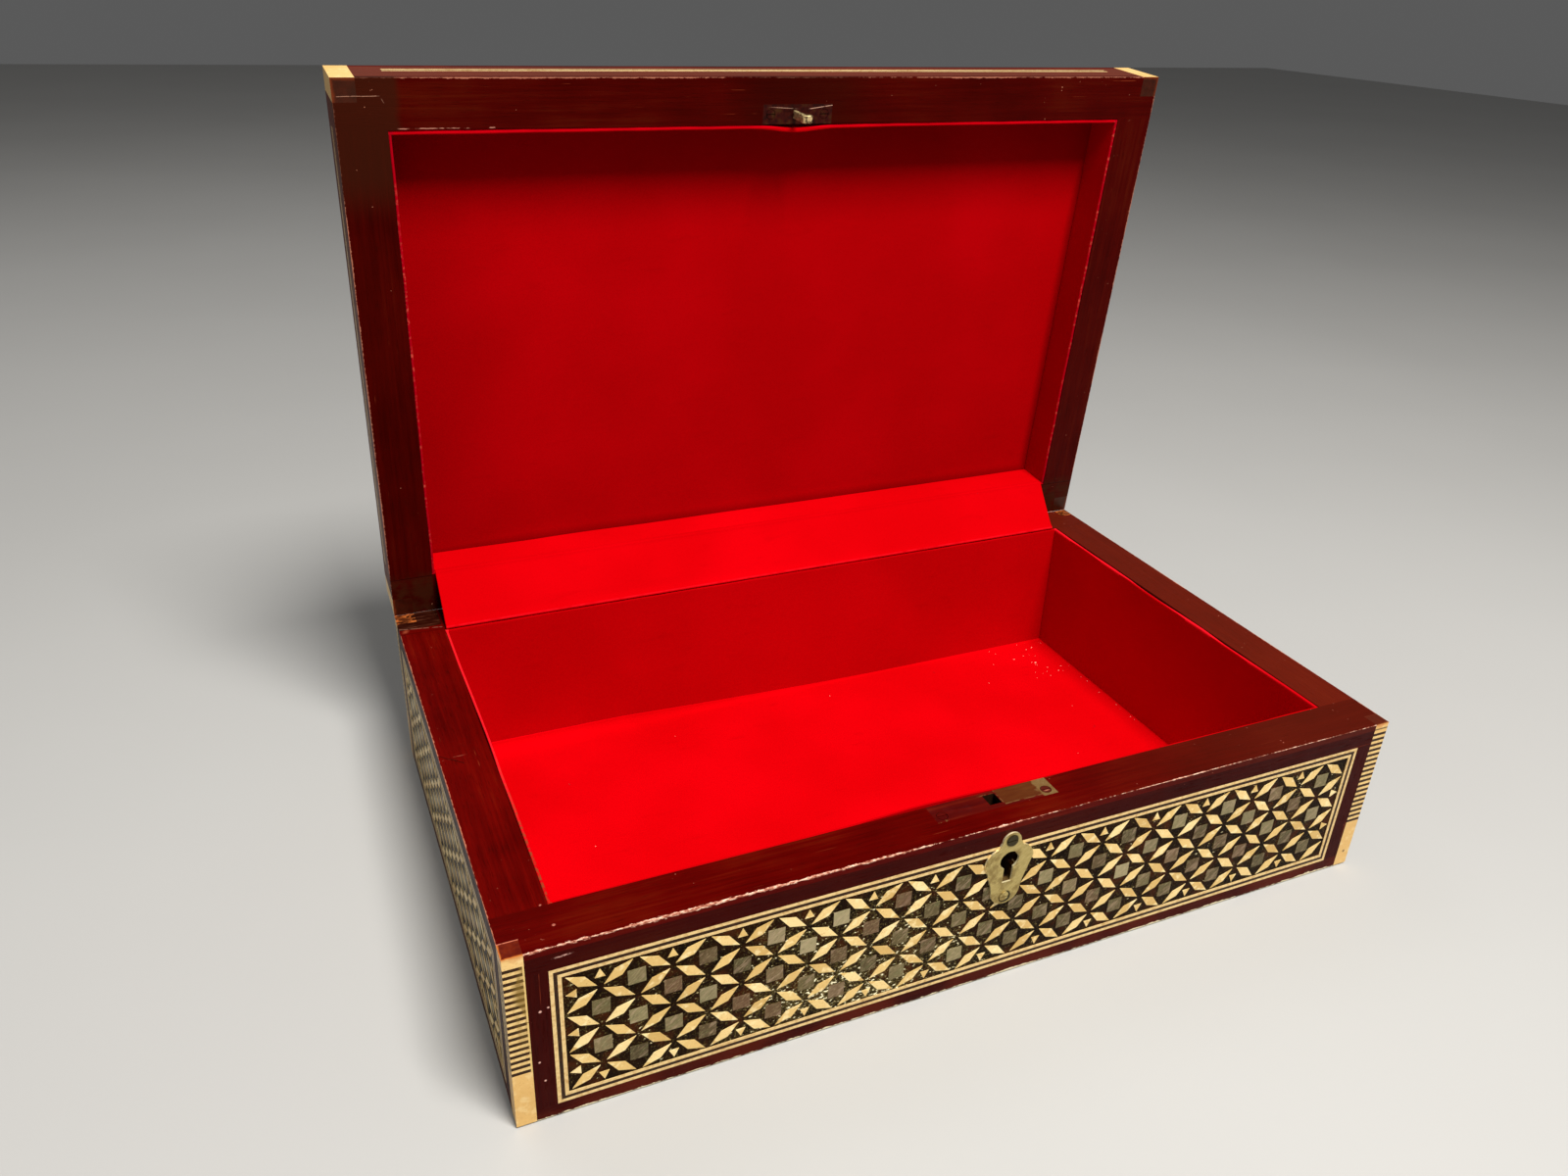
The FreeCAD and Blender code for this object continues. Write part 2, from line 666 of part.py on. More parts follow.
# The hinges: a leaf let into each rim, three knuckles and a pin just behind the box.
leaf_y = (hinge_y - mm.hinge_leaf_depth, hinge_y)
body_leaf_z = (mm.body_height - mm.hinge_leaf_thick, mm.body_height)
lid_leaf_z = (lid_rim, lid_rim + mm.hinge_leaf_thick)
leaf_screw_y = leaf_y[0] + mm.hinge_screw_setback
bore_radius = mm.pin_radius + mm.pin_clearance
notch_radius = mm.knuckle_radius + mm.notch_clearance
middle_length = mm.hinge_length - 2 * mm.knuckle_length
body_leaves, lid_leaves, pins, notches = [], [], [], []
body_leaf_seats, lid_leaf_seats = [], []
hinge_body_screws, hinge_lid_screws, body_leaf_holes, lid_leaf_holes = [], [], [], []


def along_pin(radius, start_x, length):
    """A round bar on the hinge's axis."""
    return rod(radius, length, (start_x, hinge_y, hinge_z), ALONG_X)


for side in SIDES:
    centre_x = side * mm.hinge_spacing / 2
    start_x = centre_x - mm.hinge_length / 2
    end_x = centre_x + mm.hinge_length / 2
    middle_x = start_x + mm.knuckle_length
    leaf_x = (start_x, end_x)
    head_seats = {"body": [], "lid": []}
    for screw_side in SIDES:
        screw_x = centre_x + screw_side * mm.hinge_screw_spacing
        body_seat = (screw_x, leaf_screw_y, body_leaf_z[0])
        lid_seat = (screw_x, leaf_screw_y, lid_leaf_z[1])
        hinge_body_screws.append(
            screw(mm.hinge_screw_radius, mm.hinge_leaf_thick, mm.hinge_screw_length, body_seat, -ALONG_Z))
        hinge_lid_screws.append(
            screw(mm.hinge_screw_radius, mm.hinge_leaf_thick, mm.hinge_screw_length, lid_seat, ALONG_Z))
        body_leaf_holes.append(shank_hole(mm.hinge_screw_length, body_seat, -ALONG_Z))
        lid_leaf_holes.append(shank_hole(mm.hinge_screw_length, lid_seat, ALONG_Z))
        seat_radius = mm.hinge_screw_radius + mm.hole_clearance
        head_seats["body"].append(rod(seat_radius, mm.hinge_leaf_thick, body_seat, ALONG_Z))
        head_seats["lid"].append(rod(seat_radius, mm.hinge_leaf_thick, lid_seat, -ALONG_Z))
    body_leaf = block(leaf_x, leaf_y, body_leaf_z)
    lid_leaf = block(leaf_x, leaf_y, lid_leaf_z)
    bore = along_pin(bore_radius, start_x, mm.hinge_length)
    body_blank = fuse(
        body_leaf,
        along_pin(mm.knuckle_radius, start_x, mm.knuckle_length),
        along_pin(mm.knuckle_radius, end_x - mm.knuckle_length, mm.knuckle_length),
    )
    lid_blank = fuse(
        lid_leaf,
        along_pin(mm.knuckle_radius, middle_x + mm.knuckle_gap, middle_length - 2 * mm.knuckle_gap),
    )
    middle_space = along_pin(notch_radius, middle_x, middle_length)
    end_spaces = [
        along_pin(notch_radius, start_x, mm.knuckle_length + mm.knuckle_gap),
        along_pin(notch_radius, end_x - mm.knuckle_length - mm.knuckle_gap, mm.knuckle_length + mm.knuckle_gap),
    ]
    body_leaves.append(cut(body_blank, bore, middle_space, *head_seats["body"]))
    lid_leaves.append(cut(lid_blank, bore, *end_spaces, *head_seats["lid"]))
    pins.append(along_pin(mm.pin_radius, start_x, mm.hinge_length))
    notches.append(along_pin(notch_radius, start_x - mm.notch_clearance, mm.hinge_length + 2 * mm.notch_clearance))
    body_leaf_seats.append(body_leaf)
    lid_leaf_seats.append(lid_leaf)
node("hinge_body_leaves", *body_leaves)
node("hinge_pins", *pins)
node("hinge_body_screws", *hinge_body_screws)
node("hinge_lid_leaves", *lid_leaves, lid=True)
node("hinge_lid_screws", *hinge_lid_screws, lid=True)

# The boards of the body, nailed through the long ones into the ends of the short ones.
board_z = (mm.felt_thick, rim_base)
nails = []
for side_x in SIDES:
    for side_y in SIDES:
        for index in range(count.nails_per_corner):
            nail_z = mm.body_height / 2 + (index - (count.nails_per_corner - 1) / 2) * mm.nail_spacing
            nail_x = side_x * (half_width - mm.inlay_thick - mm.board_thick / 2)
            start = (nail_x, side_y * (half_depth - mm.inlay_thick), nail_z)
            nails.append(rod(mm.nail_radius, mm.nail_length, start, ALONG_Y * -side_y))
node("corner_nails", *nails)
outer_x = (-half_width + mm.inlay_thick, half_width - mm.inlay_thick)
front_y = (-half_depth + mm.inlay_thick, rim_inner_y)
rear_y = (inner_y[1], half_depth - mm.inlay_thick)
back_seat = block(plate_x, (case_back_y, rim_inner_y), (mm.body_height - mm.lock_back_height, case_top))
node("front_wall", cut(
    block(outer_x, front_y, board_z), bottom, case_block, back_seat, keyhole,
    *posts, *nails, *escutcheon_holes, *lock_holes))
node("rear_wall", cut(block(outer_x, rear_y, board_z), bottom, *posts, *nails, *body_leaf_holes))
for name, side in (("left_wall", -1), ("right_wall", 1)):
    wall_x = (side * (half_width - mm.inlay_thick), side * (half_width - wall_thick))
    node(name, cut(block(wall_x, inner_y, board_z), bottom, *nails))

# The strips of the rim.
rim_z = (rim_base, mm.body_height)
full_x = (-half_width, half_width)
node("front_rim_strip", cut(
    block(full_x, (-half_depth, rim_inner_y), rim_z), plate_seat, case_block, back_seat, *posts, *lock_holes))
node("rear_rim_strip", cut(
    block(full_x, (inner_y[1], half_depth), rim_z), *body_leaf_seats, *notches, *posts, *body_leaf_holes))
node(
    "side_rim_strips",
    block((-half_width, inner_x[0]), inner_y, rim_z),
    block((inner_x[1], half_width), inner_y, rim_z),
)

# The inlaid faces of the body.
doc.recompute()
face_y = (mm.felt_thick, rim_base)
light_lines, dark_lines, pieces = [], [], {}
for face, (turn, corner_x, corner_y) in FACES.items():
    is_long = face in ("front", "rear")
    width = mm.body_width if is_long else mm.body_depth
    columns = count.front_columns if is_long else count.side_columns
    tools = [keyhole, *escutcheon_holes] if face == "front" else []
    drawn = face_frame(width, mm.post_side, face_y, mm.border_side, mm.border_top, mm.border_foot)
    layers = []
    for strips in (drawn.border, drawn.light, drawn.dark):
        layer = stand(gathered(*strips), face)
        layers.append(cut(layer, *tools) if tools else layer)
    light_lines.append(layers[1])
    dark_lines.append(layers[2])
    upright = Placement(Vector(float(corner_x), float(corner_y), 0),
                        Rotation(ALONG_Z, turn) * Rotation(ALONG_X, UPRIGHT))
    flat_tools = [tool.Shape.transformed(upright.inverse().toMatrix()) for tool in tools]
    mastic, bone, pearl = field_pieces(drawn, columns, count.front_rows, face, flat_tools)
    pieces[face] = SimpleNamespace(
        border=layers[0],
        mastic=stand(shaped(face + "_mastic_field", mastic), face),
        bone=stand(shaped(face + "_bone_pieces", bone), face),
        pearl=stand(shaped(face + "_pearl_pieces", pearl), face),
    )
node("body_stringing_light", *light_lines)
node("body_stringing_dark", *dark_lines)
for name, faces in (("front", ["front"]), ("rear", ["rear"]), ("side", ["left", "right"])):
    node(name + "_border", *[pieces[face].border for face in faces])
    node(name + "_mastic", *[pieces[face].mastic for face in faces])
    node(name + "_bone_inlay", *[pieces[face].bone for face in faces])
    node(name + "_pearl_inlay", *[pieces[face].pearl for face in faces])

# The lid's blocks, boards, panel and rim, all drawn with the lid shut.
corner_blocks = []
for side_x in SIDES:
    for side_y in SIDES:
        corner_blocks.append(block(
            (side_x * half_width, side_x * (half_width - mm.lid_block_side)),
            (side_y * half_depth, side_y * (half_depth - mm.lid_block_side)),
            (lid_rim, lid_top),
        ))
node("lid_corner_blocks", *corner_blocks, lid=True)
lid_inner_x = (-half_width + lid_wall_thick, half_width - lid_wall_thick)
lid_inner_y = (-half_depth + lid_wall_thick, half_depth - lid_wall_thick)
lid_front_y = (-half_depth + mm.inlay_thick, lid_inner_y[0])
lid_rear_y = (lid_inner_y[1], half_depth - mm.inlay_thick)
lid_board_z = (lid_rim_top, lid_panel_base)
catch_y = (lid_inner_y[0] - mm.catch_depth, lid_inner_y[0])
catch_x = (-mm.catch_width / 2, mm.catch_width / 2)
catch_screw_y = lid_inner_y[0] - mm.catch_depth / 2
catch_screw_x = (-mm.catch_screw_spacing, mm.catch_screw_spacing)
catch_seat = block(catch_x, catch_y, (lid_rim, lid_rim + mm.catch_thick))
catch_screws, catch_holes = [], []
for x in catch_screw_x:
    seat = (x, catch_screw_y, lid_rim + mm.catch_thick)
    catch_screws.append(screw(mm.catch_screw_radius, mm.catch_thick, mm.screw_shank_length, seat, ALONG_Z))
    catch_holes.append(shank_hole(mm.screw_shank_length, seat, ALONG_Z))
node("lid_catch_screws", *catch_screws, lid=True)
node("lid_catch_plate", plate(
    "catch_plate", catch_x, catch_y, mm.catch_thick,
    [(x, catch_screw_y) for x in catch_screw_x], mm.catch_screw_radius + mm.hole_clearance, lid_rim), lid=True)
hook_x = (-mm.catch_hook_width / 2, mm.catch_hook_width / 2)
hook_depth = (hook_y - mm.catch_hook_thick / 2, hook_y + mm.catch_hook_thick / 2)
hook_foot = lid_rim - mm.catch_hook_length
node("lid_catch_hook", fuse(
    block((hook_x[0], hook_x[0] + mm.catch_stem_width), hook_depth, (hook_foot, lid_rim)),
    block(hook_x, hook_depth, (hook_foot, hook_toe_top)),
), lid=True)
node("lid_front_wall", cut(block(outer_x, lid_front_y, lid_board_z), *corner_blocks, *catch_holes), lid=True)
node("lid_rear_wall", cut(block(outer_x, lid_rear_y, lid_board_z), *corner_blocks, *lid_leaf_holes), lid=True)
node(
    "lid_side_walls",
    block((-half_width + mm.inlay_thick, lid_inner_x[0]), lid_inner_y, lid_board_z),
    block((lid_inner_x[1], half_width - mm.inlay_thick), lid_inner_y, lid_board_z),
    lid=True,
)
outer_y = (-half_depth + mm.inlay_thick, half_depth - mm.inlay_thick)
node("lid_top_panel", cut(block(outer_x, outer_y, (lid_panel_base, lid_inlay_base)), *corner_blocks), lid=True)
lid_rim_z = (lid_rim, lid_rim_top)
node(
    "lid_rim_strips",
    cut(block(full_x, (-half_depth, lid_inner_y[0]), lid_rim_z), catch_seat, *corner_blocks, *catch_holes),
    cut(block(full_x, (lid_inner_y[1], half_depth), lid_rim_z),
        *lid_leaf_seats, *notches, *corner_blocks, *lid_leaf_holes),
    block((-half_width, lid_inner_x[0]), lid_inner_y, lid_rim_z),
    block((lid_inner_x[1], half_width), lid_inner_y, lid_rim_z),
    lid=True,
)
node("lid_ceiling_lining", block(lid_inner_x, lid_inner_y, (lid_ceiling, lid_panel_base)), lid=True)
lid_lining_z = (lid_rim + mm.lining_drop, lid_ceiling)
lid_lined_y = (lid_inner_y[0] + mm.lining_thick, lid_inner_y[1] - mm.lining_thick)
node(
    "lid_wall_linings",
    block(lid_inner_x, (lid_inner_y[0], lid_lined_y[0]), lid_lining_z),
    block(lid_inner_x, (lid_lined_y[1], lid_inner_y[1]), lid_lining_z),
    block((lid_inner_x[0], lid_inner_x[0] + mm.lining_thick), lid_lined_y, lid_lining_z),
    block((lid_inner_x[1] - mm.lining_thick, lid_inner_x[1]), lid_lined_y, lid_lining_z),
    lid=True,
)

# The lid's outside: an edge veneer with a band of stringing, and the inlaid top.
band_base = lid_rim + mm.lid_band_rise
band_lines = [band_base + mm.line_width * index for index in range(4)]
veneers, lid_light, lid_dark = [], [], []
for face in FACES:
    width = mm.body_width if face in ("front", "rear") else mm.body_depth
    depth = (-mm.inlay_thick, 0)
    band_x = (mm.lid_band_inset, width - mm.lid_band_inset)
    veneer = cut(
        block((mm.lid_block_side, width - mm.lid_block_side), (lid_rim_top, lid_inlay_base), depth),
        block(band_x, (band_lines[0], band_lines[-1]), depth),
    )
    lines = [block(band_x, (band_lines[index], band_lines[index + 1]), depth) for index in range(3)]
    veneers.append(stand(gathered(veneer), face))
    lid_light.append(stand(gathered(lines[0], lines[2]), face))
    lid_dark.append(stand(gathered(lines[1]), face))
node("lid_edge_veneers", *veneers, lid=True)
lid_margin = mm.post_side + mm.border_side
top = face_frame(mm.body_width, 0, (0, mm.body_depth), lid_margin, lid_margin, lid_margin)
lid_light.append(lay_on_lid(gathered(*top.light)))
lid_dark.append(lay_on_lid(gathered(*top.dark)))
node("lid_stringing_light", *lid_light, lid=True)
node("lid_stringing_dark", *lid_dark, lid=True)
node("lid_top_border", cut(lay_on_lid(gathered(*top.border)), *corner_blocks), lid=True)
mastic, bone, pearl = field_pieces(top, count.front_columns, count.lid_rows, "lid")
node("lid_top_mastic", lay_on_lid(shaped("lid_mastic_field", mastic)), lid=True)
node("lid_top_bone_inlay", lay_on_lid(shaped("lid_bone_pieces", bone)), lid=True)
node("lid_top_pearl_inlay", lay_on_lid(shaped("lid_pearl_pieces", pearl)), lid=True)

# The cloth web behind the linings, from the body's rim up to the lid's, drawn tight when it is open.
doc.recompute()
turned = Placement(Vector(), Rotation(ALONG_X, -open_angle.value), Vector(0, float(hinge_y), float(hinge_z)))
low_corner = Vector(0, float(inner_y[1]), float(mm.body_height))
high_corner = turned.multVec(Vector(0, float(lid_inner_y[1]), float(lid_rim)))
slope = (high_corner - low_corner).normalize()
inward = Vector(0, -slope.z, slope.y)
cloth = inward * float(mm.gusset_thick)
high_back = high_corner + inward * float(mm.gusset_clearance)
lining_top = float(lining_z[1])
profile = [
    Vector(0, float(lined_y[1]), lining_top),
    Vector(0, float(inner_y[1]), lining_top),
    low_corner,
    high_back,
    high_back + cloth,
    low_corner + cloth,
]
gusset_x = half_width - mm.gusset_inset
gusset = Part.Face(Part.makePolygon(profile + profile[:1])).extrude(Vector(2 * float(gusset_x), 0, 0))
web = shaped("gusset_web", [gusset])
web.setExpression("Placement.Base.x", (-gusset_x).text)
node("hinge_gusset", web)

# Every object has to be sound before anything is written.
doc.recompute()
for thing in doc.Objects:
    for fault in ("Invalid", "Error"):
        if fault in thing.State:
            raise RuntimeError("%s is %s" % (thing.Label, fault))
os.makedirs("parts", exist_ok=True)
for part in nodes:
    if part.Shape.isNull() or not part.Shape.isValid():
        raise RuntimeError(part.Label + " has no sound shape")
for part in nodes:
    part.Shape.exportStep(os.path.join("parts", part.Label + ".step"))
    print(part.Label, len(part.Shape.Solids), round(part.Shape.Volume, 1))
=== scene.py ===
import json
import math
import bmesh
import bpy
from mathutils import Matrix, Vector, noise


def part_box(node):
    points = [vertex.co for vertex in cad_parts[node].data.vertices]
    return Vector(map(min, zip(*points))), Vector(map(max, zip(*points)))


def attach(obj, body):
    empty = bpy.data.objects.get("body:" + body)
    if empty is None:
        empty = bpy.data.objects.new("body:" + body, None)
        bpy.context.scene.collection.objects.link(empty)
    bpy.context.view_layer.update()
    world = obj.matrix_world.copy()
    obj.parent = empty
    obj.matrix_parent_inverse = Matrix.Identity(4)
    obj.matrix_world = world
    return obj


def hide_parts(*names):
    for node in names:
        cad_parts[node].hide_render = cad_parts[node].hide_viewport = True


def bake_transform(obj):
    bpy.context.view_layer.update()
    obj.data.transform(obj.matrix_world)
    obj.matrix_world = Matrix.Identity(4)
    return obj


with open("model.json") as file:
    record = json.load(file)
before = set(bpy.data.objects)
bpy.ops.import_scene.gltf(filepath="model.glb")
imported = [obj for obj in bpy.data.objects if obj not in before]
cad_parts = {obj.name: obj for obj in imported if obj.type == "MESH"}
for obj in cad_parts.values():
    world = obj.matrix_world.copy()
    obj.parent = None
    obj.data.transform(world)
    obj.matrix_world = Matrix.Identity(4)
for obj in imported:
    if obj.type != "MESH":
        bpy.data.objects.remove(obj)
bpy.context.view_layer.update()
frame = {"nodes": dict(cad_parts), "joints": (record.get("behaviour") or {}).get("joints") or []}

# Sizes are metres, as the frame's are; MM turns a size in millimetres into metres.
MM = 0.001
HINGE = next(joint for joint in frame["joints"] if joint["name"] == "lid_hinge")
HINGE_PLACE = Vector(HINGE["pos_m"])
OPEN_ANGLE = math.radians(HINGE["range_deg"][1])
OPENED = (
    Matrix.Translation(HINGE_PLACE)
    @ Matrix.Rotation(-OPEN_ANGLE, 4, "X")
    @ Matrix.Translation(-HINGE_PLACE)
)
ROOT, LID, RED_SLOT = "body", "lid", "red_lining"

# The box's outer faces, its foot and its rim, and the lid's rim, in millimetres, with the lid shut.
BOX_X, BOX_Y, FOOT, RIM = 140.0, 87.5, 0.6, 57.0
LID_RIM = 2 * HINGE_PLACE.z / MM - RIM
# The inner faces of the body and the lid, the posts' inner sides, and the inner edges of the borders.
INNER_X, INNER_Y, LID_X, LID_Y = 125.4, 72.9, 126.0, 73.5
POST_X, POST_Y = 134.7, 82.15
BORDER_X, BORDER_Y, BORDER_FOOT, BORDER_TOP = 129.1, 76.6, 4.5, 49.8
# Where the side strips of the rims, and the side veneers of the lid's edges, end.
STRIP_X, VENEER_X, VENEER_Y = 125.9, 138.3, 81.1


def srgb(red, green, blue):
    """A colour as the photograph shows it, in the shader's linear values."""
    shares = [value / 255 for value in (red, green, blue)]
    return tuple(s / 12.92 if s <= 0.04045 else ((s + 0.055) / 1.055) ** 2.4 for s in shares) + (1,)


def maths(operation):
    """A wire's method that adds one Math node."""
    return lambda self, *others: self.finish.add("ShaderNodeMath", {"operation": operation}, self, *others)


class Wire:
    """A socket of a shader tree; arithmetic on it adds Math nodes."""

    def __init__(self, finish, socket):
        self.finish = finish
        self.socket = socket

    __add__ = __radd__ = maths("ADD")
    __sub__ = maths("SUBTRACT")
    __mul__ = __rmul__ = maths("MULTIPLY")
    __truediv__ = maths("DIVIDE")
    floored = maths("FLOOR")
    size = maths("ABSOLUTE")
    wave = maths("SINE")
    smaller = maths("MINIMUM")
    larger = maths("MAXIMUM")
    over = maths("GREATER_THAN")
    under = maths("LESS_THAN")

    def __rsub__(self, other):
        return self.finish.add("ShaderNodeMath", {"operation": "SUBTRACT"}, other, self)

    def eased(self, low, high, start=0, end=1):
        """Smoothly from start, where this is low, to end, where it is high."""
        return self.finish.add(
            "ShaderNodeMapRange", {"interpolation_type": "SMOOTHSTEP"}, self, low, high, start, end)

    def near(self, centre, reach):
        """1 at a centre, falling to 0 at a distance from it."""
        return 1 - (self - centre).size().eased(0, reach)


class Finish:
    """A material under construction. Its place is in millimetres, with the lid's taken back to shut,
    so that one pattern serves both. Its colours are red, green and blue from 0 to 255."""

    def __init__(self, name, on_lid=False):
        self.material = bpy.data.materials.new(name)
        self.material.use_nodes = True
        self.tree = self.material.node_tree
        self.surface = self.tree.nodes["Principled BSDF"]
        place = self.add("ShaderNodeTexCoord", {}, output="Object")
        if on_lid:
            place = self.add("ShaderNodeVectorRotate", {"rotation_type": "X_AXIS"}, place,
                             Center=HINGE_PLACE, Angle=OPEN_ANGLE)
        self.place = self.add("ShaderNodeVectorMath", {"operation": "SCALE"}, place, Scale=1 / MM)
        self.x, self.y, self.z = [
            self.add("ShaderNodeSeparateXYZ", {}, self.place, output=axis) for axis in "XYZ"]

    def add(self, kind, settings, *values, output=0, **named):
        """Any node: its settings first, then the values or wires of its sockets."""
        node = self.tree.nodes.new(kind)
        for name, value in settings.items():
            if name == "stops":
                stops = node.color_ramp.elements
                while len(stops) < len(value):
                    stops.new(1)
                for stop, (share, colour) in zip(stops, value):
                    stop.position = share
                    stop.color = colour
            else:
                setattr(node, name, value)
        for index, value in enumerate(values):
            self.join(node.inputs[index], value)
        for name, value in named.items():
            self.join(node.inputs[name.replace("_", " ")], value)
        return Wire(self, node.outputs[output])

    def join(self, socket, value):
        if isinstance(value, Wire):
            self.tree.links.new(value.socket, socket)
        else:
            socket.default_value = value

    def stretched(self, x, y, z):
        """The place with each axis multiplied by a number, to draw a grain out."""
        return self.add("ShaderNodeVectorMath", {"operation": "MULTIPLY"}, self.place, (x, y, z))

    def drawn(self, share, along, turned=None, other="z"):
        """The place drawn out along one axis, and along another where the mask turned is 1."""
        places = [
            self.stretched(*[share if axis == way else 1 for axis in "xyz"]) for way in (along, other)]
        return self.mixed(turned, *places) if turned else places[0]

    def together(self, x, y, z):
        return self.add("ShaderNodeCombineXYZ", {}, x, y, z)

    def spot(self, axes, centre, radius):
        """1 at a place in a plane of two axes, falling to 0 at a radius from it."""
        across, up = [getattr(self, axis) - value for axis, value in zip(axes, centre)]
        return (across * across + up * up).eased(radius ** 2, 0)

    def cloud(self, scale, detail=2, place=None, roughness=0.5, distortion=0):
        """Soft noise from 0 to 1, with a scale in cycles for each millimetre."""
        return self.add("ShaderNodeTexNoise", {}, Vector=place or self.place, Scale=scale, Detail=detail,
                        Roughness=roughness, Distortion=distortion)

    def chance(self, place, output="Value"):
        """One random number, or colour, for each whole place."""
        return self.add("ShaderNodeTexWhiteNoise", {}, place, output=output)

    def mixed(self, factor, first, second):
        """Two wires or colours, mixed by a factor."""
        node = self.tree.nodes.new("ShaderNodeMix")
        node.data_type = "RGBA"
        self.join(node.inputs[0], factor)
        for index, value in ((6, first), (7, second)):
            self.join(node.inputs[index], value if isinstance(value, Wire) else srgb(*value))
        return Wire(self, node.outputs[2])

    def coat(self, mask, colour):
        """Lay a colour over the base colour, as far as a mask says."""
        self.base = self.mixed(mask, self.base, colour)

    def ramp(self, factor, *stops):
        stops = [(share, srgb(*colour)) for share, colour in stops]
        return self.add("ShaderNodeValToRGB", {"stops": stops}, factor)

    def relief(self, height, depth):
        """Bumps of a depth in millimetres where the height goes from 0 to 1."""
        bump = self.add(
            "ShaderNodeBump", {}, Strength=1, Distance=depth * MM, Height=height, output="Normal")
        self.join(self.surface.inputs["Normal"], bump)

    def dress(self, rough, **values):
        """Set or link the surface's sockets: its base colour, its roughness and others by name."""
        for name, value in {"Base_Color": self.base, "Roughness": rough, **values}.items():
            self.join(self.surface.inputs[name.replace("_", " ")], value)
        return self.material


def assign(finish, *names):
    for name in names:
        materials = frame["nodes"][name].data.materials
        materials.clear()
        materials.append(finish)


# Woods.


def edge_line(wood, off, along, width):
    """A broken pale line along a worn edge, where off is the distance from the edge in millimetres."""
    run = wood.cloud(1.3, 4, wood.drawn(0.4, along), 0.75)
    slow = wood.cloud(0.045, 2)
    reach = (run * 2.6 + slow * 2.0 - 1.9) * width
    return (reach - off).eased(0, 0.12)


def nicks(wood, sparse=0.74):
    """Small pale nicks and grains of dust here and there."""
    return wood.cloud(0.9, 2).eased(sparse, sparse + 0.02)


RED_BROWNS = ((66, 0, 0), (92, 3, 1), (110, 24, 6))
CHIPPED_AND_GLINTING, DARK_JOINT, SCRATCHED = (226, 212, 176), (20, 2, 1), (176, 128, 104)
WAXED = {"Specular_IOR_Level": 0.2, "Specular_Tint": srgb(255, 214, 150)}


def lacquered_wood(name, along, on_lid=False, turned=None, other="z", worn=None, shade=1):
    """Dark red-brown wood under old lacquer. Its grain runs along one axis, and along another where
    turned says so."""
    wood = Finish(name, on_lid)
    turned = turned(wood) if turned else None
    fibre = wood.cloud(0.9, 4, wood.drawn(0.03, along, turned, other), 0.62, 0.3)
    pore = wood.cloud(3.4, 2, wood.drawn(0.07, along, turned, other))
    patch = wood.cloud(0.028, 3)
    dark, middle, light = [[value * shade for value in colour] for colour in RED_BROWNS]
    wood.base = wood.ramp(fibre * 0.5 + patch * 0.7 - 0.1, (0.3, dark), (0.52, middle), (0.78, light))
    wood.coat(pore.eased(0.54, 0.72) * 0.35, (30, 1, 0))
    scratch = wood.cloud(1.7, 1, wood.drawn(0.02, along, turned, other)).eased(0.72, 0.75)
    scratch = scratch * wood.cloud(0.12, 2).eased(0.5, 0.62)
    wood.coat(scratch * 0.4, (150, 62, 34))
    wood.height = fibre * 0.4 + pore.eased(0.5, 0.75) * -0.5 + wood.cloud(0.12, 2) * 1.2
    wood.rough = 0.3 + wood.cloud(0.3, 3) * 0.25 + pore.eased(0.55, 0.7) * 0.25
    if worn:
        worn(wood)
    wood.relief(wood.height, 0.05)
    return wood.dress(wood.rough, Specular_IOR_Level=0.06, Specular_Tint=srgb(255, 140, 100))


